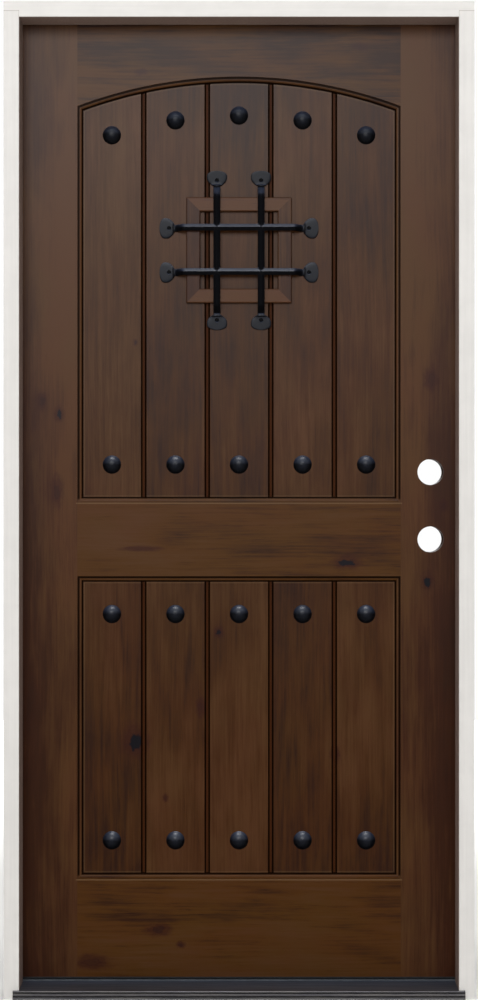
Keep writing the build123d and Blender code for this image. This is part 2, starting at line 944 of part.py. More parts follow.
def spade():
    """Flat foot of a grille bar, along Z from its neck, with swelling flanks and round shoulders."""
    start = -spade_lap
    neck = bar_half_diagonal
    corner = spade_width / 2
    end = spade_length - spade_crown
    swell = neck + (corner - neck) * spade_swell_share
    right = ThreePointArc((neck, start), (swell, end / 2), (corner, end))
    crown = ThreePointArc((corner, end), (0, spade_length), (-corner, end))
    left = ThreePointArc((-corner, end), (-swell, end / 2), (-neck, start))
    neck_line = Line((-neck, start), (neck, start))
    foot = make_face([*right.edges(), *crown.edges(), *left.edges(), *neck_line.edges()])
    shoulders = foot.vertices().group_by(Axis.Y)[-1]
    foot = fillet(shoulders, spade_shoulder)
    base = Plane(origin=(0, 0, 0), x_dir=(1, 0, 0), z_dir=(0, -1, 0))
    return extrude(base * foot, spade_gauge)


def rhombus(level, depth, half_width, half_height):
    """Square-on-edge section across a bar at a level along it."""
    section = outline((half_width, 0), (0, half_height), (-half_width, 0), (0, -half_height))
    return Plane(origin=(0, depth, level)) * section


def grille_bar():
    """Upright bar, square on edge, that ramps down to a spade foot at each end."""
    stand = trim_thickness + bar_clearance + bar_half_diagonal
    foot = grille_length / 2 - spade_length
    knee = foot - bar_ramp
    body = extrude(rhombus(-knee, -stand, bar_half_diagonal, bar_half_diagonal), 2 * knee)
    thin = spade_gauge / 2 * bar_flat_share
    ramp = loft(
        [
            rhombus(knee, -stand, bar_half_diagonal, bar_half_diagonal),
            rhombus(foot, -spade_gauge / 2, bar_half_diagonal, thin),
        ],
        ruled=True,
    )
    end = ramp + Pos(0, 0, foot) * spade()
    return body + end + mirror(end, about=Plane.XY)


def grille_turns():
    """Place of each bar: the upright pair, and the same pair turned level."""
    centre = Pos(0, panel_outer_face, window_level)
    half_pitch = grille_pitch / 2
    upright = [centre * Pos(-half_pitch, 0, 0), centre * Pos(half_pitch, 0, 0)]
    level = [centre * Rot(0, 90, 0) * Pos(-half_pitch, 0, 0), centre * Rot(0, 90, 0) * Pos(half_pitch, 0, 0)]
    return upright + level


def grille_screw_planes():
    reach = grille_length / 2 - spade_length * spade_hole_share
    planes = []
    for turn in grille_turns():
        for end in (-reach, reach):
            local = Plane(origin=(0, -spade_gauge, end), z_dir=(0, -1, 0))
            planes.append(turn * local.location)
    return planes


def make_grille():
    bars = [turn * grille_bar() for turn in grille_turns()]
    body = bars[0] + bars[1] + bars[2] + bars[3]
    for hole in placed(grille_screw_planes(), grille_screw(screw_fit)):
        body -= hole
    return body


def make_speakeasy_flap():
    """Small door cut from the planks, with their channels running on across both faces."""
    body = block(
        -flap_half, flap_half, panel_outer_face, panel_inner_face,
        window_level - flap_half, window_level + flap_half,
    )
    face = panel_thickness / 2
    bevel = (channel_width - channel_flat) / 2
    for boundary in (-plank_pitch / 2, plank_pitch / 2):
        for side in (-1, 1):
            channel = outline(
                (boundary - channel_width / 2, side * face),
                (boundary - channel_flat / 2, side * (face - bevel)),
                (boundary + channel_flat / 2, side * (face - bevel)),
                (boundary + channel_width / 2, side * face),
            )
            base = Plane(origin=(0, leaf_middle, window_level - window_half))
            body -= extrude(base * channel, 2 * window_half)
    for hole in placed(flap_screw_planes() + housing_screw_planes(), small_screw(screw_fit)):
        body -= hole
    return body


def flap_leaf_plane(side):
    return flap_pin_x + side * (flap_knuckle_radius + flap_knuckle_clearance)


def flap_plate_screws(side):
    """Screw places on the plates of one side of the flap hinges."""
    x = flap_leaf_plane(side) + side * flap_hinge_reach * flap_screw_reach_share
    planes = []
    for mid in flap_hinge_levels.values():
        for up in (-1, 1):
            z = mid + up * flap_hinge_height * flap_screw_height_share
            point = (x, panel_inner_face + flap_hinge_gauge, z)
            planes.append(Plane(origin=point, z_dir=(0, 1, 0)))
    return planes


def flap_screw_planes():
    return flap_plate_screws(1)


def flap_hinge_leaf(mid, side, knuckles):
    """Surface plate with knuckles that stand clear of the face."""
    near = flap_leaf_plane(side)
    far = near + side * flap_hinge_reach
    plate = outline(
        (near, mid - flap_hinge_height / 2),
        (far, mid - flap_hinge_height / 2),
        (far, mid + flap_hinge_height / 2),
        (near, mid + flap_hinge_height / 2),
    )
    outer = plate.vertices().sort_by(Axis.X)
    corners = outer[-2:] if side > 0 else outer[:2]
    plate = fillet(corners, flap_hinge_corner)
    base = Plane(origin=(0, panel_inner_face, 0), x_dir=(1, 0, 0), z_dir=(0, -1, 0))
    leaf = extrude(base * plate, -flap_hinge_gauge)
    span = flap_hinge_height / flap_knuckle_count
    for index in knuckles:
        low = mid - flap_hinge_height / 2 + span * index + knuckle_gap / 2
        high = low + span - knuckle_gap
        edges = sorted((flap_pin_x, near))
        root = panel_inner_face + flap_knuckle_clearance
        leaf += block(*edges, root, panel_inner_face + flap_hinge_gauge, low, high)
        leaf += rod(flap_knuckle_radius, (flap_pin_x, flap_pin_y, low), (flap_pin_x, flap_pin_y, high))
    bore_low = (flap_pin_x, flap_pin_y, mid - flap_hinge_height)
    bore_high = (flap_pin_x, flap_pin_y, mid + flap_hinge_height)
    leaf -= rod(flap_pin_radius + pin_fit, bore_low, bore_high)
    for plane in flap_plate_screws(side):
        if abs(plane.origin.Z - mid) < flap_hinge_height / 2:
            leaf -= plane * small_screw(screw_fit)
    return leaf


def make_flap_hinge_pins():
    pins = []
    for mid in flap_hinge_levels.values():
        low = mid - flap_hinge_height / 2 + knuckle_gap / 2
        high = mid + flap_hinge_height / 2 - knuckle_gap / 2
        point = (flap_pin_x, flap_pin_y)
        pin = rod(flap_pin_radius, (*point, low), (*point, high))
        pin += rod(flap_pin_head_radius, (*point, high), (*point, high + flap_pin_head_height))
        pin += rod(flap_pin_head_radius, (*point, low - flap_pin_head_height), (*point, low))
        pins.append(pin)
    return group(pins)


def bolt_block(x_low, x_high):
    """Round-topped block on a screwed flange, for the bolt to run through."""
    low = window_level - housing_half
    high = window_level + housing_half
    body = block(x_low, x_high, panel_inner_face, bolt_y, low, high)
    barrel = bolt_line(housing_half, x_low, x_high)
    body += barrel & block(x_low, x_high, bolt_y, bolt_y + housing_half, low, high)
    flange_top = panel_inner_face + housing_gauge
    return body + block(
        x_low, x_high, panel_inner_face, flange_top, low - housing_flange, high + housing_flange
    )


def flange_screw_planes(x):
    planes = []
    for side in (-1, 1):
        z = window_level + side * (housing_half + housing_flange / 2)
        point = (x, panel_inner_face + housing_gauge, z)
        planes.append(Plane(origin=point, z_dir=(0, 1, 0)))
    return planes


def housing_screw_planes():
    return flange_screw_planes((housing_start + housing_end) / 2)


def keeper_screw_planes():
    return flange_screw_planes(keeper_start + keeper_length / 2)


def panel_screw_planes():
    """Screws that hold the fixed flap hinge plates and the keeper to the panel."""
    return flap_plate_screws(-1) + keeper_screw_planes()


def panel_screw_holes():
    return placed(panel_screw_planes(), small_screw(screw_fit))


def bolt_line(radius, x_low, x_high):
    return rod(radius, (x_low, bolt_y, window_level), (x_high, bolt_y, window_level))


def make_bolt_housing():
    """Barrel for the bolt, slotted for the travel of the knob."""
    body = bolt_block(housing_start, housing_end)
    body -= bolt_line(bolt_radius + bolt_fit, housing_start - overrun, housing_end + overrun)
    slot_half = knob_stem_radius + knob_slot_fit
    body -= block(
        knob_x - slot_half, knob_x + bolt_travel + slot_half, bolt_y, bolt_y + 2 * housing_half,
        window_level - slot_half, window_level + slot_half,
    )
    for hole in placed(housing_screw_planes(), small_screw(screw_fit)):
        body -= hole
    return body


def make_bolt_keeper():
    keeper_end = keeper_start + keeper_length
    body = bolt_block(keeper_start, keeper_end)
    body -= bolt_line(bolt_radius + keeper_fit, keeper_start - overrun, keeper_end + overrun)
    for hole in placed(keeper_screw_planes(), small_screw(screw_fit)):
        body -= hole
    return body


def make_slide_bolt():
    """Round bolt, drawn back into its housing, with a stem and a ball knob."""
    body = bolt_line(bolt_radius, housing_end - bolt_length, housing_end)
    knob_y = bolt_y + knob_reach
    body += rod(knob_stem_radius, (knob_x, bolt_y, window_level), (knob_x, knob_y, window_level))
    return body + Pos(knob_x, knob_y, window_level) * Sphere(knob_radius)


def leaf_nodes():
    plain_stiles = (stile(-1), stile(1))
    nodes = {
        "hinge_stile": make_hinge_stile(),
        "lock_stile": make_lock_stile(),
        "top_rail": make_top_rail(plain_stiles),
        "lock_rail": make_lock_rail(plain_stiles),
        "bottom_rail": make_bottom_rail(plain_stiles),
        "rail_dowels": group(dowel(side, level) for side, level in dowel_places()),
        "door_sweep": make_door_sweep(),
    }
    nodes.update(make_upper_planks())
    nodes.update(make_lower_planks())
    upper, lower = clavo_rows()
    nodes["upper_clavos"] = group(placed(clavo_planes(upper), clavo()))
    nodes["lower_clavos"] = group(placed(clavo_planes(lower), clavo()))
    return nodes


def window_nodes():
    nodes = {
        "window_trim_top": trim_piece(0),
        "window_trim_right": trim_piece(90),
        "window_trim_bottom": trim_piece(180),
        "window_trim_left": trim_piece(270),
        "window_grille": make_grille(),
        "grille_screws": group(placed(grille_screw_planes(), grille_screw())),
        "speakeasy_flap": make_speakeasy_flap(),
        "flap_hinge_pins": make_flap_hinge_pins(),
        "bolt_keeper": make_bolt_keeper(),
        "bolt_housing": make_bolt_housing(),
        "slide_bolt": make_slide_bolt(),
        "panel_hardware_screws": group(placed(panel_screw_planes(), small_screw())),
    }
    flap_screws = placed(flap_screw_planes() + housing_screw_planes(), small_screw())
    nodes["flap_hardware_screws"] = group(flap_screws)
    for name, mid in flap_hinge_levels.items():
        even = range(0, flap_knuckle_count, 2)
        odd = range(1, flap_knuckle_count, 2)
        nodes[name + "_flap_hinge_fixed_leaf"] = flap_hinge_leaf(mid, -1, even)
        nodes[name + "_flap_hinge_moving_leaf"] = flap_hinge_leaf(mid, 1, odd)
    return nodes


def frame_nodes():
    screws = placed(head_screw_planes() + sill_screw_planes(), frame_screw())
    return {
        "hinge_jamb": make_hinge_jamb(),
        "strike_jamb": make_strike_jamb(),
        "head_jamb": make_head_jamb(),
        "hinge_side_seal": make_side_seal(-1),
        "strike_side_seal": make_side_seal(1),
        "head_seal": make_head_seal(),
        "sill_deck": make_sill_deck(),
        "sill_substrate": make_sill_substrate(),
        "threshold_cap": make_threshold_cap(),
        "cap_adjusters": make_cap_adjusters(),
        "frame_screws": group(screws),
    }


def hinge_nodes():
    nodes = {}
    for name, mid in hinge_levels.items():
        even = range(0, knuckle_count, 2)
        odd = range(1, knuckle_count, 2)
        nodes[name + "_hinge_jamb_leaf"] = hinge_leaf(mid, -rabbet_half, -1, even)
        nodes[name + "_hinge_door_leaf"] = hinge_leaf(mid, -half_slab, 1, odd)
        nodes[name + "_hinge_pin"] = hinge_pin(mid)
    jamb_planes = hinge_screw_planes(-rabbet_half, -1)
    nodes["hinge_jamb_screws"] = group(placed(jamb_planes, hinge_screw()))
    nodes["hinge_door_screws"] = group(placed(hinge_screw_planes(-half_slab, 1), hinge_screw()))
    return nodes


def main():
    os.makedirs("parts", exist_ok=True)
    for nodes in (leaf_nodes(), window_nodes(), frame_nodes(), hinge_nodes()):
        for name, shape in nodes.items():
            export_step(shape, os.path.join("parts", name + ".step"))


main()
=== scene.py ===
import math
import random

import bmesh
import bpy
from mathutils import Matrix, Vector, noise


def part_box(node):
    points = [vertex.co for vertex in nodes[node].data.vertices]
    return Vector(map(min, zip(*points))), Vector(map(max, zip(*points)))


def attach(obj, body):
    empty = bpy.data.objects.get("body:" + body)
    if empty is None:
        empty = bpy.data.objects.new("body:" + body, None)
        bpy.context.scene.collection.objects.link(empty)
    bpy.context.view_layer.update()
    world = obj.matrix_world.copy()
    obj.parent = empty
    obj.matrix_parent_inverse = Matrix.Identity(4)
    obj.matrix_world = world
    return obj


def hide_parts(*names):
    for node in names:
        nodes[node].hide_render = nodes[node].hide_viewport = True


bl_info = {
    "name": "Plank Front Door",
    "version": (1, 0, 0),
    "blender": (4, 5, 0),
    "location": "View3D > Sidebar > Front Door",
    "description": "Dresses a packed prehung front door with stained wood, iron and a plain studio",
    "category": "Object",
}

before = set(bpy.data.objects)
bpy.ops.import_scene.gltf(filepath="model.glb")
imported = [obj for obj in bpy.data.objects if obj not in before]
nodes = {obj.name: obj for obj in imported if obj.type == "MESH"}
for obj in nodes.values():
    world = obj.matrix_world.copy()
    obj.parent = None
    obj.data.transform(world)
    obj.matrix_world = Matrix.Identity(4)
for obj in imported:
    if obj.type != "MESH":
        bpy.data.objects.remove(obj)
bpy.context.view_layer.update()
plank_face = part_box("lower_plank_3")[0].y

GRAIN_TURNS = {"Z": (0, 0, 0), "X": (0, math.pi / 2, 0)}
DOME_TURN_SEED = 11
HAMMER_SEED = 5
SCREW_SEED = 23
MIDDLE_TONE = 0.52
COAT_ROUGHNESS = 0.36
DOME_ROWS, DOME_STEPS = 11, 40
DENT_COUNT, DENT_REACH = 26, 0.24
SCREW_STEPS, HOLE_STEPS, BAR_STEPS = 20, 24, 32
BAR_ROWS, RAMP_ROWS, SPADE_ROWS = 22, 8, 20
BAR_DENT_SCALE, BAR_DENT_SHARE = 95, 0.0132
BULB_STEPS, SWEEP_STEPS = 24, 5
STICKING = 0.0107
SPADE_WIDEST = 0.62
FOOT_HOLE = (
    (0, -0.002), (0.0024, -0.002), (0.0024, 0.0018), (0.0046, 0.0041), (0.0046, 0.006), (0, 0.006)
)
DOWN, UP, INTO_ROOM = Vector((0, 0, -1)), Vector((0, 0, 1)), Vector((0, 1, 0))


def linear(red, green, blue):
    """A screen colour, 0 to 255, as scene linear values."""
    shares = (red / 255, green / 255, blue / 255)
    return tuple(s / 12.92 if s <= 0.04045 else ((s + 0.055) / 1.055) ** 2.4 for s in shares)


def length_value(name, description, default):
    return bpy.props.FloatProperty(
        name=name, description=description, default=default, unit="LENGTH", precision=5
    )


def share_value(name, description, default):
    return bpy.props.FloatProperty(
        name=name, description=description, default=default, min=0, max=1, subtype="FACTOR"
    )


def colour_value(name, description, default):
    return bpy.props.FloatVectorProperty(
        name=name, description=description, default=default, min=0, max=1, subtype="COLOR"
    )


def power_value(name, description, default):
    return bpy.props.FloatProperty(
        name=name, description=description, default=default, unit="POWER"
    )


class DoorSizes(bpy.types.PropertyGroup):
    """Places and sizes that the patterns and the small pieces follow."""

    plank_pitch: length_value(
        "Plank pitch",
        "From one channel to the next",
        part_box("lower_plank_3")[0].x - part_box("lower_plank_2")[0].x,
    )
    channel_half: length_value("Channel half width", "Half of a channel between two planks", 0.0058)
    opening_half: length_value(
        "Opening half width", "From the middle to the stiles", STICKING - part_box("hinge_stile")[1].x
    )
    sticking: length_value("Sticking", "Width of the moulded edge round a panel", STICKING)
    arch_rise: length_value("Arch rise", "Height of the arch above its ends", 0.061)
    arch_spring: length_value("Arch spring", "Level of the ends of the arch", 1.833)
    upper_panel_foot: length_value(
        "Upper panel foot", "Level of the lock rail's top edge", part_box("lock_rail")[1].z - STICKING
    )
    lower_panel_head: length_value(
        "Lower panel head", "Level of the lock rail's lower edge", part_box("lock_rail")[0].z + STICKING
    )
    lower_panel_foot: length_value(
        "Lower panel foot", "Level of the bottom rail's top edge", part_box("bottom_rail")[1].z - STICKING
    )
    lock_x: length_value("Lock place", "From the middle to the lock bores", 0.3969)
    lock_level: length_value("Lock level", "Height of the latch bore", 0.9348)
    deadbolt_level: length_value("Deadbolt level", "Height of the deadbolt bore", 1.0745)
    bore_radius: length_value("Bore radius", "Radius of a lock bore", 0.027)
    nose_height: length_value("Nose height", "Top of the sill's nose", 0.0175)
    clavo_radius: length_value("Clavo radius", "Radius of a nail dome", 0.01905)
    clavo_height: length_value("Clavo height", "Height of a nail dome", 0.0125)
    clavo_dent: length_value("Clavo dent", "Depth of the hammer marks on a dome", 0.00035)
    stop_half: length_value(
        "Stop half width", "From the middle to the stops", -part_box("hinge_jamb")[1].x
    )
    stop_level: length_value(
        "Stop level", "Underside of the head's stop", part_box("head_jamb")[0].z
    )
    head_joint: length_value(
        "Head joint", "Level where the legs meet the head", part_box("hinge_jamb")[1].z
    )
    bar_half: length_value("Bar half diagonal", "Half of a grille bar, corner to corner", 0.007)
    bar_stand: length_value("Bar stand-off", "From the panel to the middle of a bar", 0.020)
    bar_ramp: length_value("Bar ramp", "Length over which a bar comes down to its foot", 0.020)
    spade_length: length_value("Spade length", "Length of a bar's flat foot", 0.032)
    spade_half: length_value("Spade half width", "Half of a foot's widest part", 0.021)
    spade_gauge: length_value("Spade gauge", "Thickness of a foot", 0.004)
    bar_pitch: length_value("Bar pitch", "Distance between two parallel bars", 0.09166)
    screw_sink: length_value("Screw sink", "How deep the grille screws sit in their feet", 0.0016)
    bulb_height: length_value("Bulb height", "How far a seal's bulb stands off the stop", 0.0042)


class DoorColours(bpy.types.PropertyGroup):
    """Colours of the finishes."""

    stain_dark: colour_value("Stain dark", "Darkest streaks of the stain", linear(39, 19, 10))
    stain_middle: colour_value("Stain middle", "Body of the stain", linear(50, 25, 12))
    stain_light: colour_value("Stain light", "Lightest streaks of the stain", linear(73, 46, 25))
    rail_middle: colour_value("Rail stain", "Body of the stain on the rails", linear(69, 41, 12))
    plank_middle: colour_value("Plank stain", "Body of the stain on the planks", linear(59, 33, 12))
    # Partly stain, partly painted light: the level trim boards are made lighter than the upright ones, as
    # if they caught more light and sheen from above.
    trim_stain_and_sheen: colour_value("Trim stain", "Body of the stain on the trim", linear(75, 46, 28))
    # Painted highlight: the pale edge laid on the rails' upward top arris under each panel and on a thin
    # rim round each panel, as if catching light from above.
    edge_highlight: colour_value("Arris", "Stain rubbed thin on raised edges", linear(112, 88, 62))
    # Partly stain gathered in corners, partly painted shade: it darkens the moulding's quirk, the line
    # where the moulding meets the panel, and the channel flanks.
    glaze_and_shade: colour_value("Glaze", "Stain that gathers in corners", linear(16, 6, 2))
    glaze_warm: colour_value("Warm glaze", "Floor of the plank channels", linear(58, 30, 14))
    knot: colour_value("Knot", "Heart of a knot", linear(11, 9, 15))
    knot_ring: colour_value("Knot ring", "Grain round a knot", linear(45, 17, 11))
    red_tint: colour_value("Red tint", "Warmer clouds of the stain", (1.0, 0.93, 0.89))
    olive_tint: colour_value("Olive tint", "Cooler clouds of the stain", (0.98, 1.0, 0.88))
    raw_wood: colour_value("Raw wood", "Wood of the dowels", linear(168, 122, 82))
    primer: colour_value("Primer", "White primer of the frame", linear(223, 220, 216))
    # Brown laid on the stops' inner faces and under the head, where the primer is otherwise white.
    reveal: colour_value("Reveal", "Brown on the faces of the stops", linear(128, 108, 98))
    iron: colour_value("Iron", "Black iron in the hollows", linear(8, 8, 10))
    # Painted highlight: the grey given to iron faces that look up or out of the leaf, as if lit from
    # above and in front.
    iron_highlight: colour_value("Rubbed iron", "Iron rubbed grey by hands", linear(42, 50, 68))
    bronze: colour_value("Bronze", "Dark extrusion of the sill", linear(84, 83, 88))
    worn_bronze: colour_value("Worn bronze", "Bare edges of the sill", linear(108, 105, 102))
    groove: colour_value("Groove", "Shade inside the sill's nose", (0.003, 0.003, 0.003))
    composite: colour_value("Composite", "Block under the sill", linear(84, 78, 72))
    cap: colour_value("Cap", "Dark threshold cap", linear(66, 70, 75))
    hinge: colour_value("Hinge", "Dark bronze plate", linear(74, 58, 46))
    zinc: colour_value("Zinc", "Bright screws", linear(186, 186, 182))
    seal: colour_value("Seal", "Brown vinyl seal", linear(92, 74, 66))
    vinyl: colour_value("Vinyl", "Black sweep", linear(34, 34, 35))


class DoorStage(bpy.types.PropertyGroup):
    """Studio, lights and camera."""

    floor: colour_value("Floor", "Pale floor", linear(232, 231, 229))
    sky_share: share_value("Sky", "Strength of the soft light from all round", 0.14)
    key_power: power_value("Key light", "Large soft light, high in front", 258)
    top_power: power_value("Top light", "Soft light from above", 12)
    rear_power: power_value("Rear light", "Soft light on the room side", 190)
    strip_power: power_value("Overhead strip", "Long light high over the doorway", 185)
    camera_distance: length_value("Camera distance", "From the frame's face to the camera", 4.0)
    camera_level: length_value("Camera level", "Height of the camera", 1.0165)
    picture_height: length_value(
        "Picture height", "Height at the frame's face that fills the picture", 2.036
    )


class Wiring:
    """Adds nodes to one tree and links them."""

    def __init__(self, tree):
        self.tree = tree

    def feed(self, socket, value):
        if isinstance(value, bpy.types.NodeSocket):
            self.tree.links.new(value, socket)
        elif value is not None:
            socket.default_value = value

    def node(self, kind, inputs=None, **settings):
        made = self.tree.nodes.new(kind)
        for name, value in settings.items():
            setattr(made, name, value)
        for name, value in (inputs or {}).items():
            self.feed(made.inputs[name], value)
        return made

    def math(self, operation, first, second=None, clamp=False):
        inputs = {0: first, 1: second}
        made = self.node("ShaderNodeMath", inputs, operation=operation, use_clamp=clamp)
        return made.outputs[0]

    def fold(self, operation, values):
        result = values[0]
        for value in values[1:]:
            result = self.math(operation, result, value)
        return result

    def add(self, *values):
        return self.fold("ADD", values)

    def largest(self, *values):
        return self.fold("MAXIMUM", values)

    def smallest(self, *values):
        return self.fold("MINIMUM", values)

    def times(self, first, second, clamp=False):
        return self.math("MULTIPLY", first, second, clamp)

    def less(self, first, second):
        return self.math("SUBTRACT", first, second)

    def absolute(self, value):
        return self.math("ABSOLUTE", value)

    def vector(self, operation, first, second=None):
        made = self.node("ShaderNodeVectorMath", {0: first, 1: second}, operation=operation)
        return made.outputs["Value" if operation == "LENGTH" else "Vector"]

    def scaled(self, vector, factors):
        return self.vector("MULTIPLY", vector, factors)

    def turned(self, vector, grain):
        """The vector with Z laid along the grain."""
        inputs = {"Vector": vector, "Rotation": GRAIN_TURNS[grain]}
        return self.node("ShaderNodeMapping", inputs).outputs[0]

    def group(self, tree, **inputs):
        return self.node("ShaderNodeGroup", inputs, node_tree=tree).outputs

    def parts(self, vector):
        return self.node("ShaderNodeSeparateXYZ", {0: vector}).outputs

    def joined(self, x, y, z):
        return self.node("ShaderNodeCombineXYZ", {0: x, 1: y, 2: z}).outputs[0]

    def noise(self, vector, scale, detail=2.0, roughness=0.5, output="Fac"):
        inputs = {"Vector": vector, "Scale": scale, "Detail": detail, "Roughness": roughness}
        return self.node("ShaderNodeTexNoise", inputs).outputs[output]

    def smooth(self, value, low, high, low_out=0.0, high_out=1.0):
        inputs = {"Value": value, "From Min": low, "From Max": high}
        inputs |= {"To Min": low_out, "To Max": high_out}
        made = self.node("ShaderNodeMapRange", inputs, interpolation_type="SMOOTHSTEP")
        return made.outputs["Result"]

    def band(self, value, low, high, soft):
        rise = self.smooth(value, low - soft, low + soft)
        fall = self.smooth(value, high + soft, high - soft)
        return self.times(rise, fall)

    def mixed(self, share, first, second, blend="MIX"):
        made = self.node("ShaderNodeMix", data_type="RGBA", blend_type=blend)
        self.feed(made.inputs["Factor"], share)
        self.feed(made.inputs[6], first)
        self.feed(made.inputs[7], second)
        return made.outputs[2]

    def ramp(self, value, stops):
        made = self.node("ShaderNodeValToRGB", {"Fac": value})
        elements = made.color_ramp.elements
        while len(elements) < len(stops):
            elements.new(0.5)
        for element, (place, colour) in zip(elements, stops):
            element.position = place
            element.color = colour
        return made.outputs["Color"]

    def bump(self, height, strength, distance):
        inputs = {"Height": height, "Strength": strength, "Distance": distance}
        return self.node("ShaderNodeBump", inputs).outputs["Normal"]

    def place(self):
        return self.node("ShaderNodeTexCoord").outputs["Object"]


def opaque(colour):
    return (*colour, 1.0)


def shader_group(name, vectors, floats, outputs):
    """Turns a function that wires a shader group into one that builds the group once."""

    def wrap(wire):
        def find(*values):
            if name in bpy.data.node_groups:
                return bpy.data.node_groups[name]
            tree = bpy.data.node_groups.new(name, "ShaderNodeTree")
            sockets = [(title, "INPUT", "NodeSocketVector") for title in vectors]
            sockets += [(title, "INPUT", "NodeSocketFloat") for title in floats]
            sockets += [(title, "OUTPUT", "NodeSocketFloat") for title in outputs]
            for title, way, kind in sockets:
                tree.interface.new_socket(name=title, in_out=way, socket_type=kind)
            w = Wiring(tree)
            given = w.node("NodeGroupInput").outputs
            result = w.node("NodeGroupOutput").inputs
            wire(w, given, result, *values)
            return tree

        return find

    return wrap


@shader_group("Alder grain", ("Vector",), (), ("Tone", "Hue", "Height"))
def grain_group(w, given, result):
    """Alder grain that runs along Z: fibres, cathedral figure and blotches of stain."""
    place = given["Vector"]
    slow = w.noise(w.scaled(place, (5, 5, 1.1)), 1, 2, output="Color")
    wander = w.scaled(w.vector("SUBTRACT", slow, (0.5, 0.5, 0.5)), (0.035, 0.035, 0))
    bent = w.vector("ADD", place, wander)
    contour = w.noise(w.scaled(bent, (13, 13, 1.0)), 1, 1.5, 0.4)
    figure = w.math("SINE", w.times(contour, 46))
    fibre = w.noise(w.scaled(bent, (210, 210, 7)), 1, 3, 0.6)
    pores = w.noise(w.scaled(bent, (720, 720, 24)), 1, 2, 0.6)
    cloud = w.noise(w.scaled(place, (5, 5, 2.2)), 1, 2, 0.5)
    blotch = w.noise(w.scaled(place, (21, 21, 8)), 1, 3, 0.55)
    hue = w.noise(w.scaled(place, (9, 9, 4)), 1, 3, 0.6)
    pore_mask = w.smooth(pores, 0.58, 0.72)
    tone = w.add(
        w.times(fibre, 0.28),
        w.times(figure, 0.024),
        w.times(cloud, 0.32),
        w.times(blotch, 0.24),
        w.times(pore_mask, -0.06),
        0.11,
    )
    height = w.add(
        w.times(fibre, 0.5),
        w.times(figure, 0.08),
        w.times(pore_mask, -0.35),
    )
    w.feed(result["Tone"], tone)
    w.feed(result["Hue"], w.smooth(hue, 0.36, 0.64))
    w.feed(result["Height"], height)


@shader_group("Alder knot", ("Vector", "Centre", "Shape"), (), ("Heart", "Ring"))
def knot_group(w, given, result):
    """One knot seen through the thickness of a board: a dark heart and the rings round it."""
    away = w.scaled(w.vector("SUBTRACT", given["Vector"], given["Centre"]), given["Shape"])
    seed = w.scaled(given["Centre"], (40, 40, 40))
    tear = w.noise(w.vector("ADD", away, seed), 0.55, 3, 0.6, "Color")
    torn = w.scaled(w.vector("SUBTRACT", tear, (0.5, 0.5, 0.5)), (3.2, 0, 3.2))
    reach = w.vector("LENGTH", w.vector("ADD", away, torn))
    rings = w.math("SINE", w.times(reach, 7.5))
    shade = w.add(w.times(rings, 0.07), 0.75)
    w.feed(result["Heart"], w.smooth(reach, 1.45, 0.95))
    w.feed(result["Ring"], w.times(w.smooth(reach, 3.6, 1.2), shade))


@shader_group("Panel inset", ("Vector",), (), ("Inset", "Foot", "Channel"))
def inset_group(w, given, result, sizes):
    """How far a point lies inside the nearer panel, above its foot and from a plank channel."""
    x, y, z = w.parts(given["Vector"])
    half = sizes.opening_half
    radius = (half ** 2 + sizes.arch_rise ** 2) / (2 * sizes.arch_rise)
    centre = sizes.arch_spring + sizes.arch_rise - radius
    side = w.less(half, w.absolute(x))
    spread = w.vector("LENGTH", w.joined(x, 0.0, w.less(z, centre)))
    upper = w.smallest(
        side, w.less(z, sizes.upper_panel_foot), w.less(radius, spread)
    )
    lower = w.smallest(
        side,
        w.less(z, sizes.lower_panel_foot),
        w.less(sizes.lower_panel_head, z),
    )
    turns = w.math("DIVIDE", x, sizes.plank_pitch)
    fold = w.absolute(w.less(w.math("FRACT", turns), 0.5))
    lock_middle = (sizes.upper_panel_foot + sizes.lower_panel_head) / 2
    is_upper = w.math("GREATER_THAN", z, lock_middle)
    rise = sizes.upper_panel_foot - sizes.lower_panel_foot
    foot = w.less(z, w.add(w.times(is_upper, rise), sizes.lower_panel_foot))
    w.feed(result["Foot"], foot)
    w.feed(result["Inset"], w.largest(upper, lower))
    w.feed(result["Channel"], w.times(fold, sizes.plank_pitch))


@shader_group("Fine wear", ("Vector",), ("Size",), ("Patches", "Specks", "Streaks"))
def wear_group(w, given, result):
    """Slow patches, fine specks and long streaks for painted and metal finishes."""
    scaled = w.scaled(given["Vector"], w.joined(given["Size"], given["Size"], given["Size"]))
    w.feed(result["Patches"], w.noise(scaled, 1.0, 3, 0.55))
    w.feed(result["Specks"], w.noise(scaled, 14.0, 2, 0.5))
    w.feed(result["Streaks"], w.noise(w.scaled(scaled, (9, 9, 0.22)), 1.0, 3, 0.6))


def new_material(name):
    """Material with an empty Principled shader wired to its output."""
    material = bpy.data.materials.new(name)
    material.use_nodes = True
    tree = material.node_tree
    tree.nodes.clear()
    wiring = Wiring(tree)
    shader = wiring.node("ShaderNodeBsdfPrincipled")
    output = wiring.node("ShaderNodeOutputMaterial")
    tree.links.new(shader.outputs[0], output.inputs["Surface"])
    return material, wiring, shader.inputs


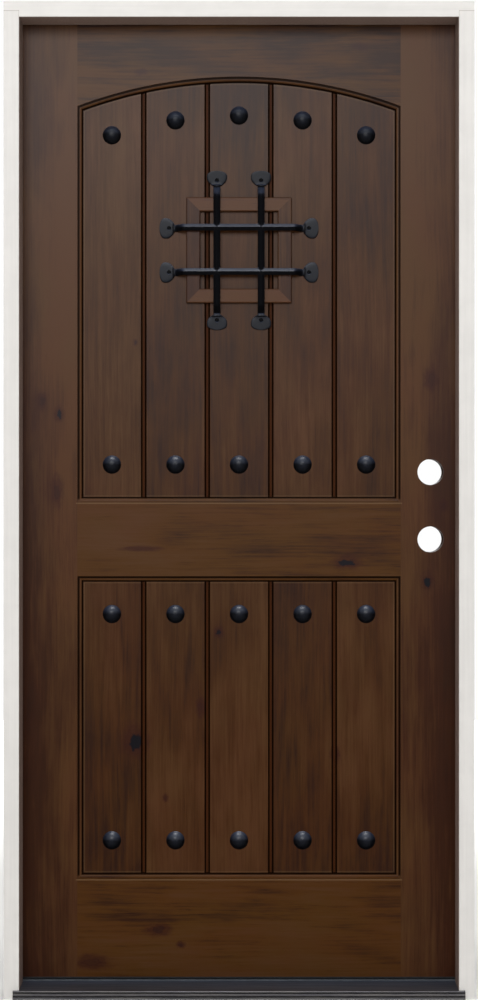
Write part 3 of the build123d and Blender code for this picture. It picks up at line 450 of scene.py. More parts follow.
class StainedWood:
    """Builds the stained alder finishes of the leaf."""

    def __init__(self, sizes, colours):
        self.sizes = sizes
        self.colours = colours

    def make(self, name, grain, middle, shift, knots=(), edges=True, planks=False, stile=False):
        """One finish: the grain's direction, the stain's body and where the figure starts."""
        sizes, colours = self.sizes, self.colours
        material, w, shader = new_material(name)
        place = w.place()
        moved = w.vector("ADD", place, shift)
        x, y, z = w.parts(place)
        if planks:
            board = w.math("FLOOR", w.add(w.math("DIVIDE", x, sizes.plank_pitch), 0.5))
            upper = w.math("GREATER_THAN", z, sizes.lower_panel_head)
            number = w.add(board, w.times(upper, 9.0), 3.0)
            jump = w.node("ShaderNodeTexWhiteNoise", {"W": number}, noise_dimensions="1D").outputs
            moved = w.vector("ADD", moved, jump["Color"])
        turned = w.turned(moved, grain)
        grain_values = w.group(grain_group(), Vector=turned)
        tone = grain_values["Tone"]
        if planks:
            tone = w.add(tone, w.times(jump["Value"], 0.08), -0.04)
        if stile:
            # Stiles are lighter toward the panel and darker toward the outer edge: partly a stain band,
            # partly painted shade from the jambs.
            tone = w.add(tone, w.smooth(w.absolute(x), sizes.opening_half, 0.45, 0.12, -0.05))
            # Painted light: stiles grow lighter toward the top of the leaf.
            tone = w.add(tone, w.smooth(z, 0.5, 1.9, 0.0, 0.12))
        else:
            # Other boards turn darker near the top of the leaf.
            tone = w.add(tone, w.smooth(z, 1.7, 1.95, 0.0, -0.08))
        spread = 0.18 if stile else 0.125
        stops = [
            (MIDDLE_TONE - spread, opaque(colours.stain_dark)),
            (MIDDLE_TONE, opaque(middle)),
            (MIDDLE_TONE + spread, opaque(colours.stain_light)),
        ]
        colour = w.ramp(tone, stops)
        tint = w.mixed(grain_values["Hue"], opaque(colours.red_tint), opaque(colours.olive_tint))
        colour = w.mixed(1.0, colour, tint, "MULTIPLY")
        colour = self.knotted(w, place, colour, knots)
        # Painted sheen: the varnish coat is made heavier toward the top of the leaf, as the mirror of a
        # bright light high in front, and lighter in the mouldings and channels, as shaded reflection. The
        # bore walls get no coat.
        varnish_and_painted_sheen = w.add(w.smooth(z, 0.3, 1.2, 0.12, 0.18), w.smooth(z, 1.45, 1.95, 0.0, 0.06))
        if edges:
            colour, hidden = self.glazed_and_shaded(w, place, colour, planks)
            varnish_and_painted_sheen = w.times(varnish_and_painted_sheen, w.smooth(hidden, 0.0, 0.9, 1.0, 0.1))
        if stile:
            varnish_and_painted_sheen = w.times(varnish_and_painted_sheen, self.outside_bores(w, x, z))
        w.feed(shader["Base Color"], colour)
        w.feed(shader["Roughness"], w.smooth(grain_values["Height"], 0.0, 0.6, 0.40, 0.31))
        shader["Specular IOR Level"].default_value = 0.005
        w.feed(shader["Coat Weight"], varnish_and_painted_sheen)
        shader["Coat Roughness"].default_value = COAT_ROUGHNESS
        w.feed(shader["Normal"], w.bump(grain_values["Height"], 0.3, 0.0004))
        return material

    def outside_bores(self, w, x, z):
        """One on the stile's faces, none on the walls of the lock bores."""
        reaches = []
        for level in (self.sizes.lock_level, self.sizes.deadbolt_level):
            across = w.less(x, self.sizes.lock_x)
            reaches.append(w.vector("LENGTH", w.joined(across, 0.0, w.less(z, level))))
        beyond = w.less(w.smallest(*reaches), self.sizes.bore_radius)
        return w.smooth(beyond, 0.0001, 0.0006)

    def knotted(self, w, place, colour, knots):
        """The colour with each knot's rings and heart on it."""
        if not knots:
            return colour
        hearts = []
        rings = []
        for centre, shape, strength in knots:
            found = w.group(knot_group(), Vector=place, Centre=centre, Shape=shape)
            hearts.append(w.times(found["Heart"], strength))
            rings.append(found["Ring"])
        colour = w.mixed(w.largest(*rings), colour, opaque(self.colours.knot_ring))
        return w.mixed(w.largest(*hearts), colour, opaque(self.colours.knot))

    def glazed_and_shaded(self, w, place, colour, planks):
        """Dark glaze and painted shade in the mouldings and channels, and how far each point is hidden in
        them.
        """
        inset = w.group(inset_group(self.sizes), Vector=place)
        edge = self.sizes.sticking
        # Painted shade: the outer dark line on the moulding's drop is left off near the panel's foot,
        # where the drop faces up into the light. The inner line is painted contact shade where the
        # moulding meets the panel.
        away = w.smooth(inset["Foot"], 0.004, 0.010)
        outer = w.times(w.band(inset["Inset"], 0.0002, 0.0046, 0.0007), away)
        inner = w.band(inset["Inset"], edge - 0.0022, edge + 0.0012, 0.0006)
        # Painted highlight: the rails' top arris under each panel and a thin rim round the panel are
        # lightened, as if catching light from above.
        ledge = w.band(inset["Foot"], -0.0026, 0.0, 0.0006)
        edge_highlight = w.times(ledge, w.smooth(inset["Inset"], -0.004, -0.002))
        highlight_mask = w.band(inset["Inset"], edge + 0.0018, edge + 0.0042, 0.0006)
        pale = w.times(w.largest(edge_highlight, w.times(highlight_mask, 0.4)), 0.5)
        colour = w.mixed(pale, colour, opaque(self.colours.edge_highlight))
        shade = w.largest(w.times(outer, 0.92), w.times(inner, 0.94))
        if planks:
            floor = w.smooth(inset["Channel"], 0.0026, 0.0014)
            colour = w.mixed(floor, colour, opaque(self.colours.glaze_warm))
            flank = w.band(inset["Channel"], 0.0022, self.sizes.channel_half, 0.0007)
            shade = w.largest(shade, w.times(flank, 0.94))
        hidden = w.largest(shade, floor) if planks else shade
        return w.mixed(shade, colour, opaque(self.colours.glaze_and_shade)), hidden


def knot(x, z, radius, stretch=1.0, strength=1.0, upright=True):
    """Place, shape and darkness of a knot, longer along the grain by the stretch."""
    across = 1 / radius
    along = 1 / (radius * stretch)
    shape = (across, 0, along) if upright else (along, 0, across)
    return (x, 0, z), shape, strength


def set_material(names, material):
    """Gives CAD nodes a finish through their own material slots."""
    for name in names:
        node = nodes[name]
        if not node.material_slots:
            raise RuntimeError(name + " has no material slot")
        for slot in node.material_slots:
            slot.material = material


@shader_group("Upward highlight", ("Normal",), (), ("Highlight",))
def highlight_group(w, given, result):
    """How far a face looks out of the leaf or up: the mask of a painted highlight, as of light from above
    and in front.
    """
    x, y, z = w.parts(given["Normal"])
    front = w.math("POWER", w.absolute(y), 6.0)
    up = w.math("MAXIMUM", z, 0.0)
    w.feed(result["Highlight"], w.math("ADD", w.times(front, 0.14), up, True))


def iron_material(colours, name="Black iron", highlight_share=1.0):
    """Waxed black iron with a painted highlight: greyer and glossier on faces that look up or out of the
    leaf.
    """
    if name in bpy.data.materials:
        return bpy.data.materials[name]
    material, w, shader = new_material(name)
    place = w.place()
    wear = w.group(wear_group(), Vector=place, Size=26.0)
    normal = w.node("ShaderNodeTexCoord").outputs["Normal"]
    # Painted highlight: faces that look up or out get the grey colour and a heavier coat, as if lit from
    # above and in front.
    highlight_mask = w.times(w.group(highlight_group(), Normal=normal)["Highlight"], highlight_share)
    share = w.times(highlight_mask, w.smooth(wear["Patches"], 0.30, 0.70, 0.8, 1.1), True)
    w.feed(shader["Base Color"], w.mixed(share, opaque(colours.iron), opaque(colours.iron_highlight)))
    w.feed(shader["Roughness"], w.smooth(wear["Specks"], 0.3, 0.7, 0.30, 0.44))
    shader["Specular IOR Level"].default_value = 0.02
    w.feed(shader["Coat Weight"], w.smooth(highlight_mask, 0.0, 0.85, 0.06 * min(1, highlight_share), 1.0))
    shader["Coat Roughness"].default_value = COAT_ROUGHNESS
    hammer = w.noise(place, 210, 2, 0.5)
    height = w.add(w.times(hammer, 0.8), w.times(wear["Specks"], 0.2))
    w.feed(shader["Normal"], w.bump(height, 0.3, 0.0005))
    return material


def metal_material(name, colour, roughness, brush):
    """Brushed plate or extrusion with long streaks along the brush direction."""
    material, w, shader = new_material(name)
    place = w.place()
    turned = w.turned(place, brush)
    wear = w.group(wear_group(), Vector=turned, Size=30.0)
    darker = tuple(c * 0.6 for c in colour)
    marks = w.add(w.times(wear["Streaks"], 0.6), w.times(wear["Patches"], 0.4))
    share = w.smooth(marks, 0.35, 0.65)
    w.feed(shader["Base Color"], w.mixed(share, opaque(darker), opaque(colour)))
    gloss = w.smooth(wear["Streaks"], 0.3, 0.7, roughness - 0.08, roughness + 0.08)
    w.feed(shader["Roughness"], gloss)
    shader["Metallic"].default_value = 0.7
    w.feed(shader["Normal"], w.bump(wear["Streaks"], 0.15, 0.0003))
    return material


def sill_material(sizes, colours):
    """Worn dark extrusion: streaks, a bluish back, bright lands and painted shade in the grooves on the
    nose.
    """
    material, w, shader = new_material("Dark sill bronze")
    place = w.place()
    x, y, z = w.parts(place)
    low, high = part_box("sill_deck")
    streaks = w.noise(w.scaled(place, (2.5, 90, 160)), 1, 3, 0.65)
    scuffs = w.noise(w.scaled(place, (14, 240, 420)), 1, 3, 0.7)
    blue = tuple(c * k for c, k in zip(colours.bronze, (0.80, 0.96, 1.20)))
    dark = tuple(c * 0.5 for c in colours.bronze)
    colour = w.mixed(w.smooth(y, low.y, 0.02), opaque(colours.bronze), opaque(blue))
    colour = w.mixed(w.smooth(streaks, 0.36, 0.62, 0.7, 0.0), colour, opaque(dark))
    front = w.smooth(w.less(y, low.y), 0.0016, 0.0006)
    worn = w.times(front, w.smooth(scuffs, 0.38, 0.66, 0.1, 0.7))
    colour = w.mixed(worn, colour, opaque(colours.worn_bronze))
    # Painted shade: the grooves on the nose's face are blackened and lose their metal.
    inside = w.band(w.less(y, low.y), 0.0006, 0.004, 0.0003)
    under = w.smooth(z, sizes.nose_height - 0.0022, sizes.nose_height - 0.0016, 1.0, 0.0)
    groove = w.times(inside, under)
    colour = w.mixed(groove, colour, opaque(colours.groove))
    w.feed(shader["Base Color"], colour)
    w.feed(shader["Roughness"], w.smooth(scuffs, 0.3, 0.7, 0.34, 0.5))
    w.feed(shader["Metallic"], w.smooth(groove, 0.0, 1.0, 0.7, 0.0))
    shader["Specular IOR Level"].default_value = 0.05
    w.feed(shader["Normal"], w.bump(scuffs, 0.2, 0.0003))
    return material


def primer_material(name, sizes, colours, brush):
    """Brushed white primer, brown on the stops' edges, with a fine line where head and legs meet."""
    material, w, shader = new_material(name)
    place = w.place()
    turned = w.turned(place, brush)
    wear = w.group(wear_group(), Vector=turned, Size=16.0)
    cool = tuple(c * 0.93 for c in colours.primer)
    share = w.add(w.times(wear["Patches"], 0.5), w.times(wear["Streaks"], 0.5))
    colour = w.mixed(w.smooth(share, 0.35, 0.65), opaque(cool), opaque(colours.primer))
    x, y, z = w.parts(place)
    # The stops' inner faces and the head's underside are coloured brown.
    between = w.smooth(w.less(w.absolute(x), sizes.stop_half), 0.0006, 0.0002)
    under = w.smooth(w.less(z, sizes.stop_level), 0.0006, 0.0002)
    colour = w.mixed(w.times(between, under), colour, opaque(colours.reveal))
    joint = w.band(w.less(z, sizes.head_joint), -0.0007, 0.0007, 0.0003)
    beside = w.less(1.0, between)
    colour = w.mixed(w.times(w.times(joint, beside), 0.45), colour, opaque(colours.reveal))
    w.feed(shader["Base Color"], colour)
    w.feed(shader["Roughness"], w.smooth(wear["Specks"], 0.3, 0.7, 0.5, 0.64))
    shader["Specular IOR Level"].default_value = 0.35
    height = w.add(w.times(wear["Streaks"], 0.7), w.times(wear["Specks"], 0.3))
    w.feed(shader["Normal"], w.bump(height, 0.25, 0.0004))
    return material


def soft_material(name, colour, size, roughness):
    """Vinyl or moulded skin with a fine pebble and dusty patches."""
    material, w, shader = new_material(name)
    place = w.place()
    wear = w.group(wear_group(), Vector=place, Size=size)
    dusty = tuple(min(1, c * 1.35 + 0.004) for c in colour)
    dust = w.smooth(wear["Patches"], 0.4, 0.7)
    w.feed(shader["Base Color"], w.mixed(dust, opaque(colour), opaque(dusty)))
    gloss = w.smooth(wear["Specks"], 0.3, 0.7, roughness - 0.06, roughness + 0.08)
    w.feed(shader["Roughness"], gloss)
    shader["Specular IOR Level"].default_value = 0.3
    w.feed(shader["Normal"], w.bump(wear["Specks"], 0.3, 0.0002))
    return material


def plain_wood_material(name, colour, grain, roughness):
    """Bare wood with the same grain as the leaf."""
    material, w, shader = new_material(name)
    turned = w.turned(w.place(), grain)
    values = w.group(grain_group(), Vector=turned)
    dark = tuple(c * 0.55 for c in colour)
    light = tuple(min(1, c * 1.3) for c in colour)
    stops = [(0.34, opaque(dark)), (MIDDLE_TONE, opaque(colour)), (0.70, opaque(light))]
    w.feed(shader["Base Color"], w.ramp(values["Tone"], stops))
    gloss = w.smooth(values["Height"], 0.0, 0.6, roughness + 0.06, roughness - 0.06)
    w.feed(shader["Roughness"], gloss)
    w.feed(shader["Normal"], w.bump(values["Height"], 0.3, 0.0003))
    return material


def place_tree():
    """Geometry Nodes: a shape at each point, facing outwards and spun about that direction."""
    if "Shapes at places" in bpy.data.node_groups:
        return bpy.data.node_groups["Shapes at places"]
    tree = bpy.data.node_groups.new("Shapes at places", "GeometryNodeTree")
    for title, kind in (
        ("Points", "NodeSocketGeometry"),
        ("Shape", "NodeSocketObject"),
        ("Weld", "NodeSocketBool"),
        ("Finish", "NodeSocketMaterial"),
    ):
        tree.interface.new_socket(name=title, in_out="INPUT", socket_type=kind)
    tree.interface.new_socket(name="Geometry", in_out="OUTPUT", socket_type="NodeSocketGeometry")
    w = Wiring(tree)
    given = w.node("NodeGroupInput").outputs
    shape = w.node("GeometryNodeObjectInfo", {"Object": given["Shape"]}).outputs["Geometry"]
    named = "GeometryNodeInputNamedAttribute"
    outward = w.node(named, {"Name": "outward"}, data_type="FLOAT_VECTOR").outputs[0]
    spin = w.node(named, {"Name": "spin"}, data_type="FLOAT").outputs[0]
    facing = w.node("FunctionNodeAlignRotationToVector", {"Vector": outward}, axis="Z").outputs[0]
    turn = w.node("FunctionNodeAxisAngleToRotation", {"Axis": (0, 0, 1), "Angle": spin}).outputs[0]
    rotation = {"Rotation": facing, "Rotate By": turn}
    spun = w.node("FunctionNodeRotateRotation", rotation, rotation_space="LOCAL")
    spread = w.node(
        "GeometryNodeInstanceOnPoints",
        {"Points": given["Points"], "Instance": shape, "Rotation": spun.outputs[0]},
    )
    instances = {"Geometry": spread.outputs["Instances"]}
    real = w.node("GeometryNodeRealizeInstances", instances).outputs[0]
    fused = w.node("GeometryNodeMeshBoolean", operation="UNION", solver="EXACT")
    w.feed(fused.inputs["Mesh 2"], real)
    w.feed(fused.inputs["Self Intersection"], True)
    choice = w.node(
        "GeometryNodeSwitch",
        {"Switch": given["Weld"], "False": real, "True": fused.outputs["Mesh"]},
        input_type="GEOMETRY",
    )
    finish = {"Geometry": choice.outputs[0], "Material": given["Finish"]}
    coated = w.node("GeometryNodeSetMaterial", finish)
    end = w.node("NodeGroupOutput")
    w.feed(end.inputs["Geometry"], coated.outputs[0])
    return tree


def skin(bm, rings):
    """Closes a row of equal rings of points into one skin with flat ends."""
    steps = len(rings[0])
    for lower, upper in zip(rings, rings[1:]):
        for step in range(steps):
            after = (step + 1) % steps
            bm.faces.new((lower[step], lower[after], upper[after], upper[step]))
    bm.faces.new(list(reversed(rings[0])))
    bm.faces.new(rings[-1])


def mesh_from(bm, name, smooth_degrees=None):
    bmesh.ops.recalc_face_normals(bm, faces=bm.faces)
    mesh = bpy.data.meshes.new(name)
    bm.to_mesh(mesh)
    bm.free()
    if smooth_degrees is not None:
        mesh.shade_smooth()
        mesh.set_sharp_from_angle(angle=math.radians(smooth_degrees))
    return mesh


def shapes_at(name, places, shape_mesh, material, weld=False):
    """Plain mesh with the shape at each (point, outward direction, spin)."""
    points = bpy.data.meshes.new(name + "_points")
    points.from_pydata([tuple(point) for point, outward, spin in places], [], [])
    points.attributes.new("outward", "FLOAT_VECTOR", "POINT")
    points.attributes.new("spin", "FLOAT", "POINT")
    for index, (point, outward, spin) in enumerate(places):
        points.attributes["outward"].data[index].vector = outward
        points.attributes["spin"].data[index].value = spin
    holder = bpy.data.objects.new(name + "_holder", points)
    shape = bpy.data.objects.new(name + "_shape", shape_mesh)
    for item in (holder, shape):
        bpy.context.scene.collection.objects.link(item)
    tree = place_tree()
    modifier = holder.modifiers.new("Places", "NODES")
    modifier.node_group = tree
    values = {"Shape": shape, "Weld": weld, "Finish": material}
    for item in tree.interface.items_tree:
        if item.in_out == "INPUT" and item.name in values:
            modifier[item.identifier] = values[item.name]
    graph = bpy.context.evaluated_depsgraph_get()
    made = bpy.data.meshes.new_from_object(holder.evaluated_get(graph), depsgraph=graph)
    holder.modifiers.remove(modifier)
    bpy.data.objects.remove(holder)
    bpy.data.objects.remove(shape)
    if len(made.polygons) == 0:
        raise RuntimeError(name + " came out empty")
    for attribute in ("outward", "spin"):
        if attribute in made.attributes:
            made.attributes.remove(made.attributes[attribute])
    return made


def new_piece(name, mesh, body, replaced, material=None):
    """Puts a finished mesh into the scene, on its body and in place of its CAD nodes."""
    mesh.name = name
    if material is not None:
        mesh.materials.clear()
        mesh.materials.append(material)
    piece = bpy.data.objects.new(name, mesh)
    bpy.context.scene.collection.objects.link(piece)
    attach(piece, body)
    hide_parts(*replaced)
    return piece


def islands(mesh):
    """Separate bodies of a CAD node's mesh, as lists of points."""
    bm = bmesh.new()
    bm.from_mesh(mesh)
    bmesh.ops.remove_doubles(bm, verts=bm.verts, dist=1e-6)
    left = set(bm.verts)
    found = []
    while left:
        queue = [left.pop()]
        body = []
        while queue:
            vertex = queue.pop()
            body.append(vertex.co.copy())
            for edge in vertex.link_edges:
                other = edge.other_vert(vertex)
                if other in left:
                    left.remove(other)
                    queue.append(other)
        found.append(body)
    bm.free()
    found.sort(key=lambda body: tuple(round(v, 4) for v in sum(body, Vector()) / len(body)))
    return found


def box_of(points):
    low = Vector([min(p[i] for p in points) for i in range(3)])
    high = Vector([max(p[i] for p in points) for i in range(3)])
    return low, high


def screw_places(name):
    """Head centre, outward direction, head radius and length of each screw in a CAD node."""
    found = []
    for body in islands(nodes[name].data):
        low, high = box_of(body)
        size = high - low
        axis = max(range(3), key=lambda i: size[i])
        flats = []
        for end in (low[axis], high[axis]):
            near = [p for p in body if abs(p[axis] - end) < 5e-5]
            near_low, near_high = box_of(near)
            flats.append(max(near_high - near_low) / 2)
        head_end = 0 if flats[0] > flats[1] else 1
        outward = Vector((0, 0, 0))
        outward[axis] = -1 if head_end == 0 else 1
        centre = (low + high) / 2
        centre[axis] = (low, high)[head_end][axis]
        found.append((centre, outward, flats[head_end], size[axis]))
    return found


def lathe(bm, profile, steps):
    """Closed turned body about Z from (radius, level) points that start and end on the axis."""
    rings = []
    for radius, level in profile:
        if radius < 1e-7:
            rings.append([bm.verts.new((0, 0, level))])
            continue
        ring = []
        for step in range(steps):
            angle = 2 * math.pi * step / steps
            ring.append(bm.verts.new((radius * math.cos(angle), radius * math.sin(angle), level)))
        rings.append(ring)
    for lower, upper in zip(rings, rings[1:]):
        for step in range(steps):
            after = (step + 1) % steps
            corners = [lower[step % len(lower)], lower[after % len(lower)]]
            corners += [upper[after % len(upper)], upper[step % len(upper)]]
            unique = list(dict.fromkeys(corners))
            if len(unique) > 2:
                bm.faces.new(unique)


def carved(body_mesh, cutter_mesh, smooth_degrees):
    """Mesh of a body with a cutter taken away."""
    body = bpy.data.objects.new("carve_body", body_mesh)
    cutter = bpy.data.objects.new("carve_cutter", cutter_mesh)
    for item in (body, cutter):
        bpy.context.scene.collection.objects.link(item)
    cut = body.modifiers.new("Cut", "BOOLEAN")
    cut.operation = "DIFFERENCE"
    cut.solver = "EXACT"
    cut.use_self = True
    cut.object = cutter
    graph = bpy.context.evaluated_depsgraph_get()
    mesh = bpy.data.meshes.new_from_object(body.evaluated_get(graph), depsgraph=graph)
    bpy.data.objects.remove(body)
    bpy.data.objects.remove(cutter)
    mesh.shade_smooth()
    mesh.set_sharp_from_angle(angle=math.radians(smooth_degrees))
    return mesh


def screw_mesh(head, length):
    """Countersunk screw, head up at the origin, with a tapered cross recess."""
    shank = head * 0.5
    depth = head * 0.47
    bm = bmesh.new()
    crown = ((0, 0.01), (0.86, 0.02), (0.97, 0.06), (1, 0.14))
    profile = [(head * wide, -head * low) for wide, low in crown]
    profile += [(shank, -depth), (shank, shank - length), (0, -length)]
    lathe(bm, profile, SCREW_STEPS)
    body = mesh_from(bm, "screw_body")
    cutter_bm = bmesh.new()
    wide, narrow, deep = head * 0.56, head * 0.11, head * 0.42
    for turn in (0, math.pi / 2):
        top = [(-wide, -narrow), (wide, -narrow), (wide, narrow), (-wide, narrow)]
        upper = []
        lower = []
        for x, y in top:
            spot = Matrix.Rotation(turn, 3, "Z") @ Vector((x, y, head * 0.2))
            upper.append(cutter_bm.verts.new(spot))
            spot = Matrix.Rotation(turn, 3, "Z") @ Vector((x * 0.45, y * 0.7, -deep))
            lower.append(cutter_bm.verts.new(spot))
        cutter_bm.faces.new(upper)
        cutter_bm.faces.new(list(reversed(lower)))
        for a in range(4):
            b = (a + 1) % 4
            cutter_bm.faces.new((upper[a], lower[a], lower[b], upper[b]))
    return carved(body, mesh_from(cutter_bm, "screw_cross"), 28)


def clavo_mesh(sizes):
    """Hammered nail dome, standing on the origin along Z, closed underneath."""
    radius, height = sizes.clavo_radius, sizes.clavo_height
    sphere = (radius ** 2 + height ** 2) / (2 * height)
    widest = math.asin(radius / sphere)
    profile = [(0, 0), (radius * 0.985, 0), (radius, height * 0.05)]
    for row in range(1, DOME_ROWS):
        angle = widest * (1 - row / DOME_ROWS) * 0.985
        profile.append((sphere * math.sin(angle), height - sphere + sphere * math.cos(angle)))
    profile.append((0, height))
    bm = bmesh.new()
    lathe(bm, profile, DOME_STEPS)
    dice = random.Random(HAMMER_SEED)
    dents = []
    for index in range(DENT_COUNT):
        tilt = widest * math.sqrt(dice.random())
        around = dice.random() * 2 * math.pi
        reach = math.sin(tilt)
        spot = (reach * math.cos(around), reach * math.sin(around), math.cos(tilt))
        dents.append(Vector(spot))
    middle = Vector((0, 0, height - sphere))
    for vertex in bm.verts:
        if vertex.co.z < height * 0.12:
            continue
        out = (vertex.co - middle).normalized()
        near = min((out - dent).length for dent in dents)
        push = max(0.0, 1 - near / DENT_REACH)
        vertex.co -= out * sizes.clavo_dent * push
    return mesh_from(bm, "clavo_shape", 50)


def clavo_places(name):
    """Foot centre of each dome, on the face of the planks."""
    found = []
    dice = random.Random(DOME_TURN_SEED)
    for body in islands(nodes[name].data):
        low, high = box_of(body)
        foot = Vector(((low.x + high.x) / 2, plank_face, (low.z + high.z) / 2))
        found.append((foot, Vector((0, -1, 0)), dice.random() * 2 * math.pi))
    return found


def bar_ring(half_width, half_depth, sharpness, steps):
    """Points round a bar: a diamond at sharpness 1, a flat plate at a high one."""
    ring = []
    for step in range(steps):
        angle = 2 * math.pi * step / steps
        c, s = math.cos(angle), math.sin(angle)
        x = half_width * math.copysign(abs(c) ** (2 / sharpness), c)
        y = half_depth * math.copysign(abs(s) ** (2 / sharpness), s)
        ring.append((x, y))
    return ring


def spade_half_width(sizes, along):
    """Half width of a foot from its neck, 0, to its end, 1: swelling flanks and a rounded crown."""
    neck = sizes.bar_half * 0.9
    share = min(1, along / SPADE_WIDEST)
    width = neck + (sizes.spade_half - neck) * (1 - (1 - share) ** 2.6)
    if along > SPADE_WIDEST:
        across = (along - SPADE_WIDEST) / (1 - SPADE_WIDEST)
        return width * max(0.0, 1 - across ** 2.6) ** 0.5
    return width


def bar_sections(sizes, half_length):
    """Ring sizes along half a bar: (along, half width, half depth, middle height, sharpness)."""
    foot = half_length - sizes.spade_length
    knee = foot - sizes.bar_ramp
    flat = sizes.spade_gauge / 2
    rows = []
    for index in range(BAR_ROWS + 1):
        along = knee * index / BAR_ROWS
        rows.append((along, sizes.bar_half, sizes.bar_half, sizes.bar_stand, 1.03))
    for index in range(1, RAMP_ROWS):
        share = index / RAMP_ROWS
        ease = share * share * (3 - 2 * share)
        half_depth = sizes.bar_half + (flat - sizes.bar_half) * ease
        middle = sizes.bar_stand + (flat - sizes.bar_stand) * ease
        along = knee + sizes.bar_ramp * share
        half_width = sizes.bar_half * (1 + 0.06 * ease)
        rows.append((along, half_width, half_depth, middle, 1.03 + 1.3 * ease))
    for index in range(SPADE_ROWS + 1):
        share = 1 - (1 - index / SPADE_ROWS) ** 1.6
        along = foot + sizes.spade_length * share
        half_width = max(spade_half_width(sizes, share), 0.0006)
        bead = math.exp(-(((share - 0.04) / 0.07) ** 2))
        half_depth = flat * (1 + 0.9 * bead)
        rows.append((along, half_width, half_depth, half_depth, 2.6 + 3.4 * share))
    return rows


def bar_mesh(sizes, half_length):
    """Forged bar along Y with a spade foot at each end, standing off along Z."""
    half = bar_sections(sizes, half_length)
    rows = [(-a, w, d, m, s) for a, w, d, m, s in reversed(half[1:])] + half
    bm = bmesh.new()
    rings = []
    for along, half_width, half_depth, middle, sharpness in rows:
        ring = []
        for x, z in bar_ring(half_width, half_depth, sharpness, BAR_STEPS):
            spot = Vector((x, along, middle + z))
            dent = noise.noise(spot * BAR_DENT_SCALE) * BAR_DENT_SHARE if sharpness < 2 else 0.0
            spot.x *= 1 - abs(dent)
            spot.z = middle + (spot.z - middle) * (1 - abs(dent))
            ring.append(bm.verts.new(spot))
        rings.append(ring)
    skin(bm, rings)
    holes = bmesh.new()
    for side in (-1, 1):
        known = len(holes.verts)
        lathe(holes, FOOT_HOLE, HOLE_STEPS)
        along = side * (half_length - sizes.spade_length * SPADE_WIDEST)
        bmesh.ops.translate(holes, verts=list(holes.verts)[known:], vec=(0, along, 0))
    return carved(mesh_from(bm, "grille_bar"), mesh_from(holes, "grille_holes"), 30)


def strip_mesh(name, outline_points, start, end, across, depth):
    """Closed strip with one outline from a start to an end point; across and depth are its axes."""
    bm = bmesh.new()
    run = end - start
    count = max(2, int(run.length / 0.05))
    rings = []
    for index in range(count + 1):
        base = start + run * (index / count)
        rings.append([bm.verts.new(base + across * u + depth * v) for u, v in outline_points])
    skin(bm, rings)
    return mesh_from(bm, name, 40)


def seal_outline(width, bulb_depth, fin_depth):
    """Soft bulb with a barbed fin behind it: distance across the seal, and depth from the stop."""
    points = []
    middle = width / 2
    for step in range(BULB_STEPS + 1):
        angle = math.pi * (1.06 - 1.12 * step / BULB_STEPS)
        c, s = math.cos(angle), math.sin(angle)
        u = middle + middle * math.copysign(abs(c) ** 0.55, c)
        v = bulb_depth * (0.22 + 0.78 * math.copysign(abs(s) ** 0.7, s))
        points.append((u, max(v, 0.0)))
    fin_middle = width * 0.26
    fin_half = 0.0011
    barbs = ((1, 0), (1, 0.45), (1.06, 0.55), (0.6, 0.62), (1.06, 0.82), (0.4, 1))
    right = [(fin_middle + fin_half * wide, -fin_depth * deep) for wide, deep in barbs]
    left = [(fin_middle - fin_half * wide, -fin_depth * deep) for wide, deep in reversed(barbs)]
    return points + right + left


def sweep_outline(low, high):
    """Sweep section: a base strip with three fins that curl back."""
    depth = high.y - low.y
    height = high.z - low.z
    base = height / 3
    curl, root_half = 0.0011, 0.0008
    points = [(0, height), (0, height - base)]
    for share in (0.12, 0.5, 0.88):
        middle = depth * share
        left = []
        right = []
        for step in range(SWEEP_STEPS + 1):
            drop = step / SWEEP_STEPS
            bend = curl * drop * drop
            half = root_half * (1 - 0.45 * drop)
            level = (height - base) * (1 - drop)
            left.append((middle - half + bend, level))
            right.append((middle + half + bend, level))
        points += left + list(reversed(right))
    points += [(depth, height - base), (depth, height)]
    return points


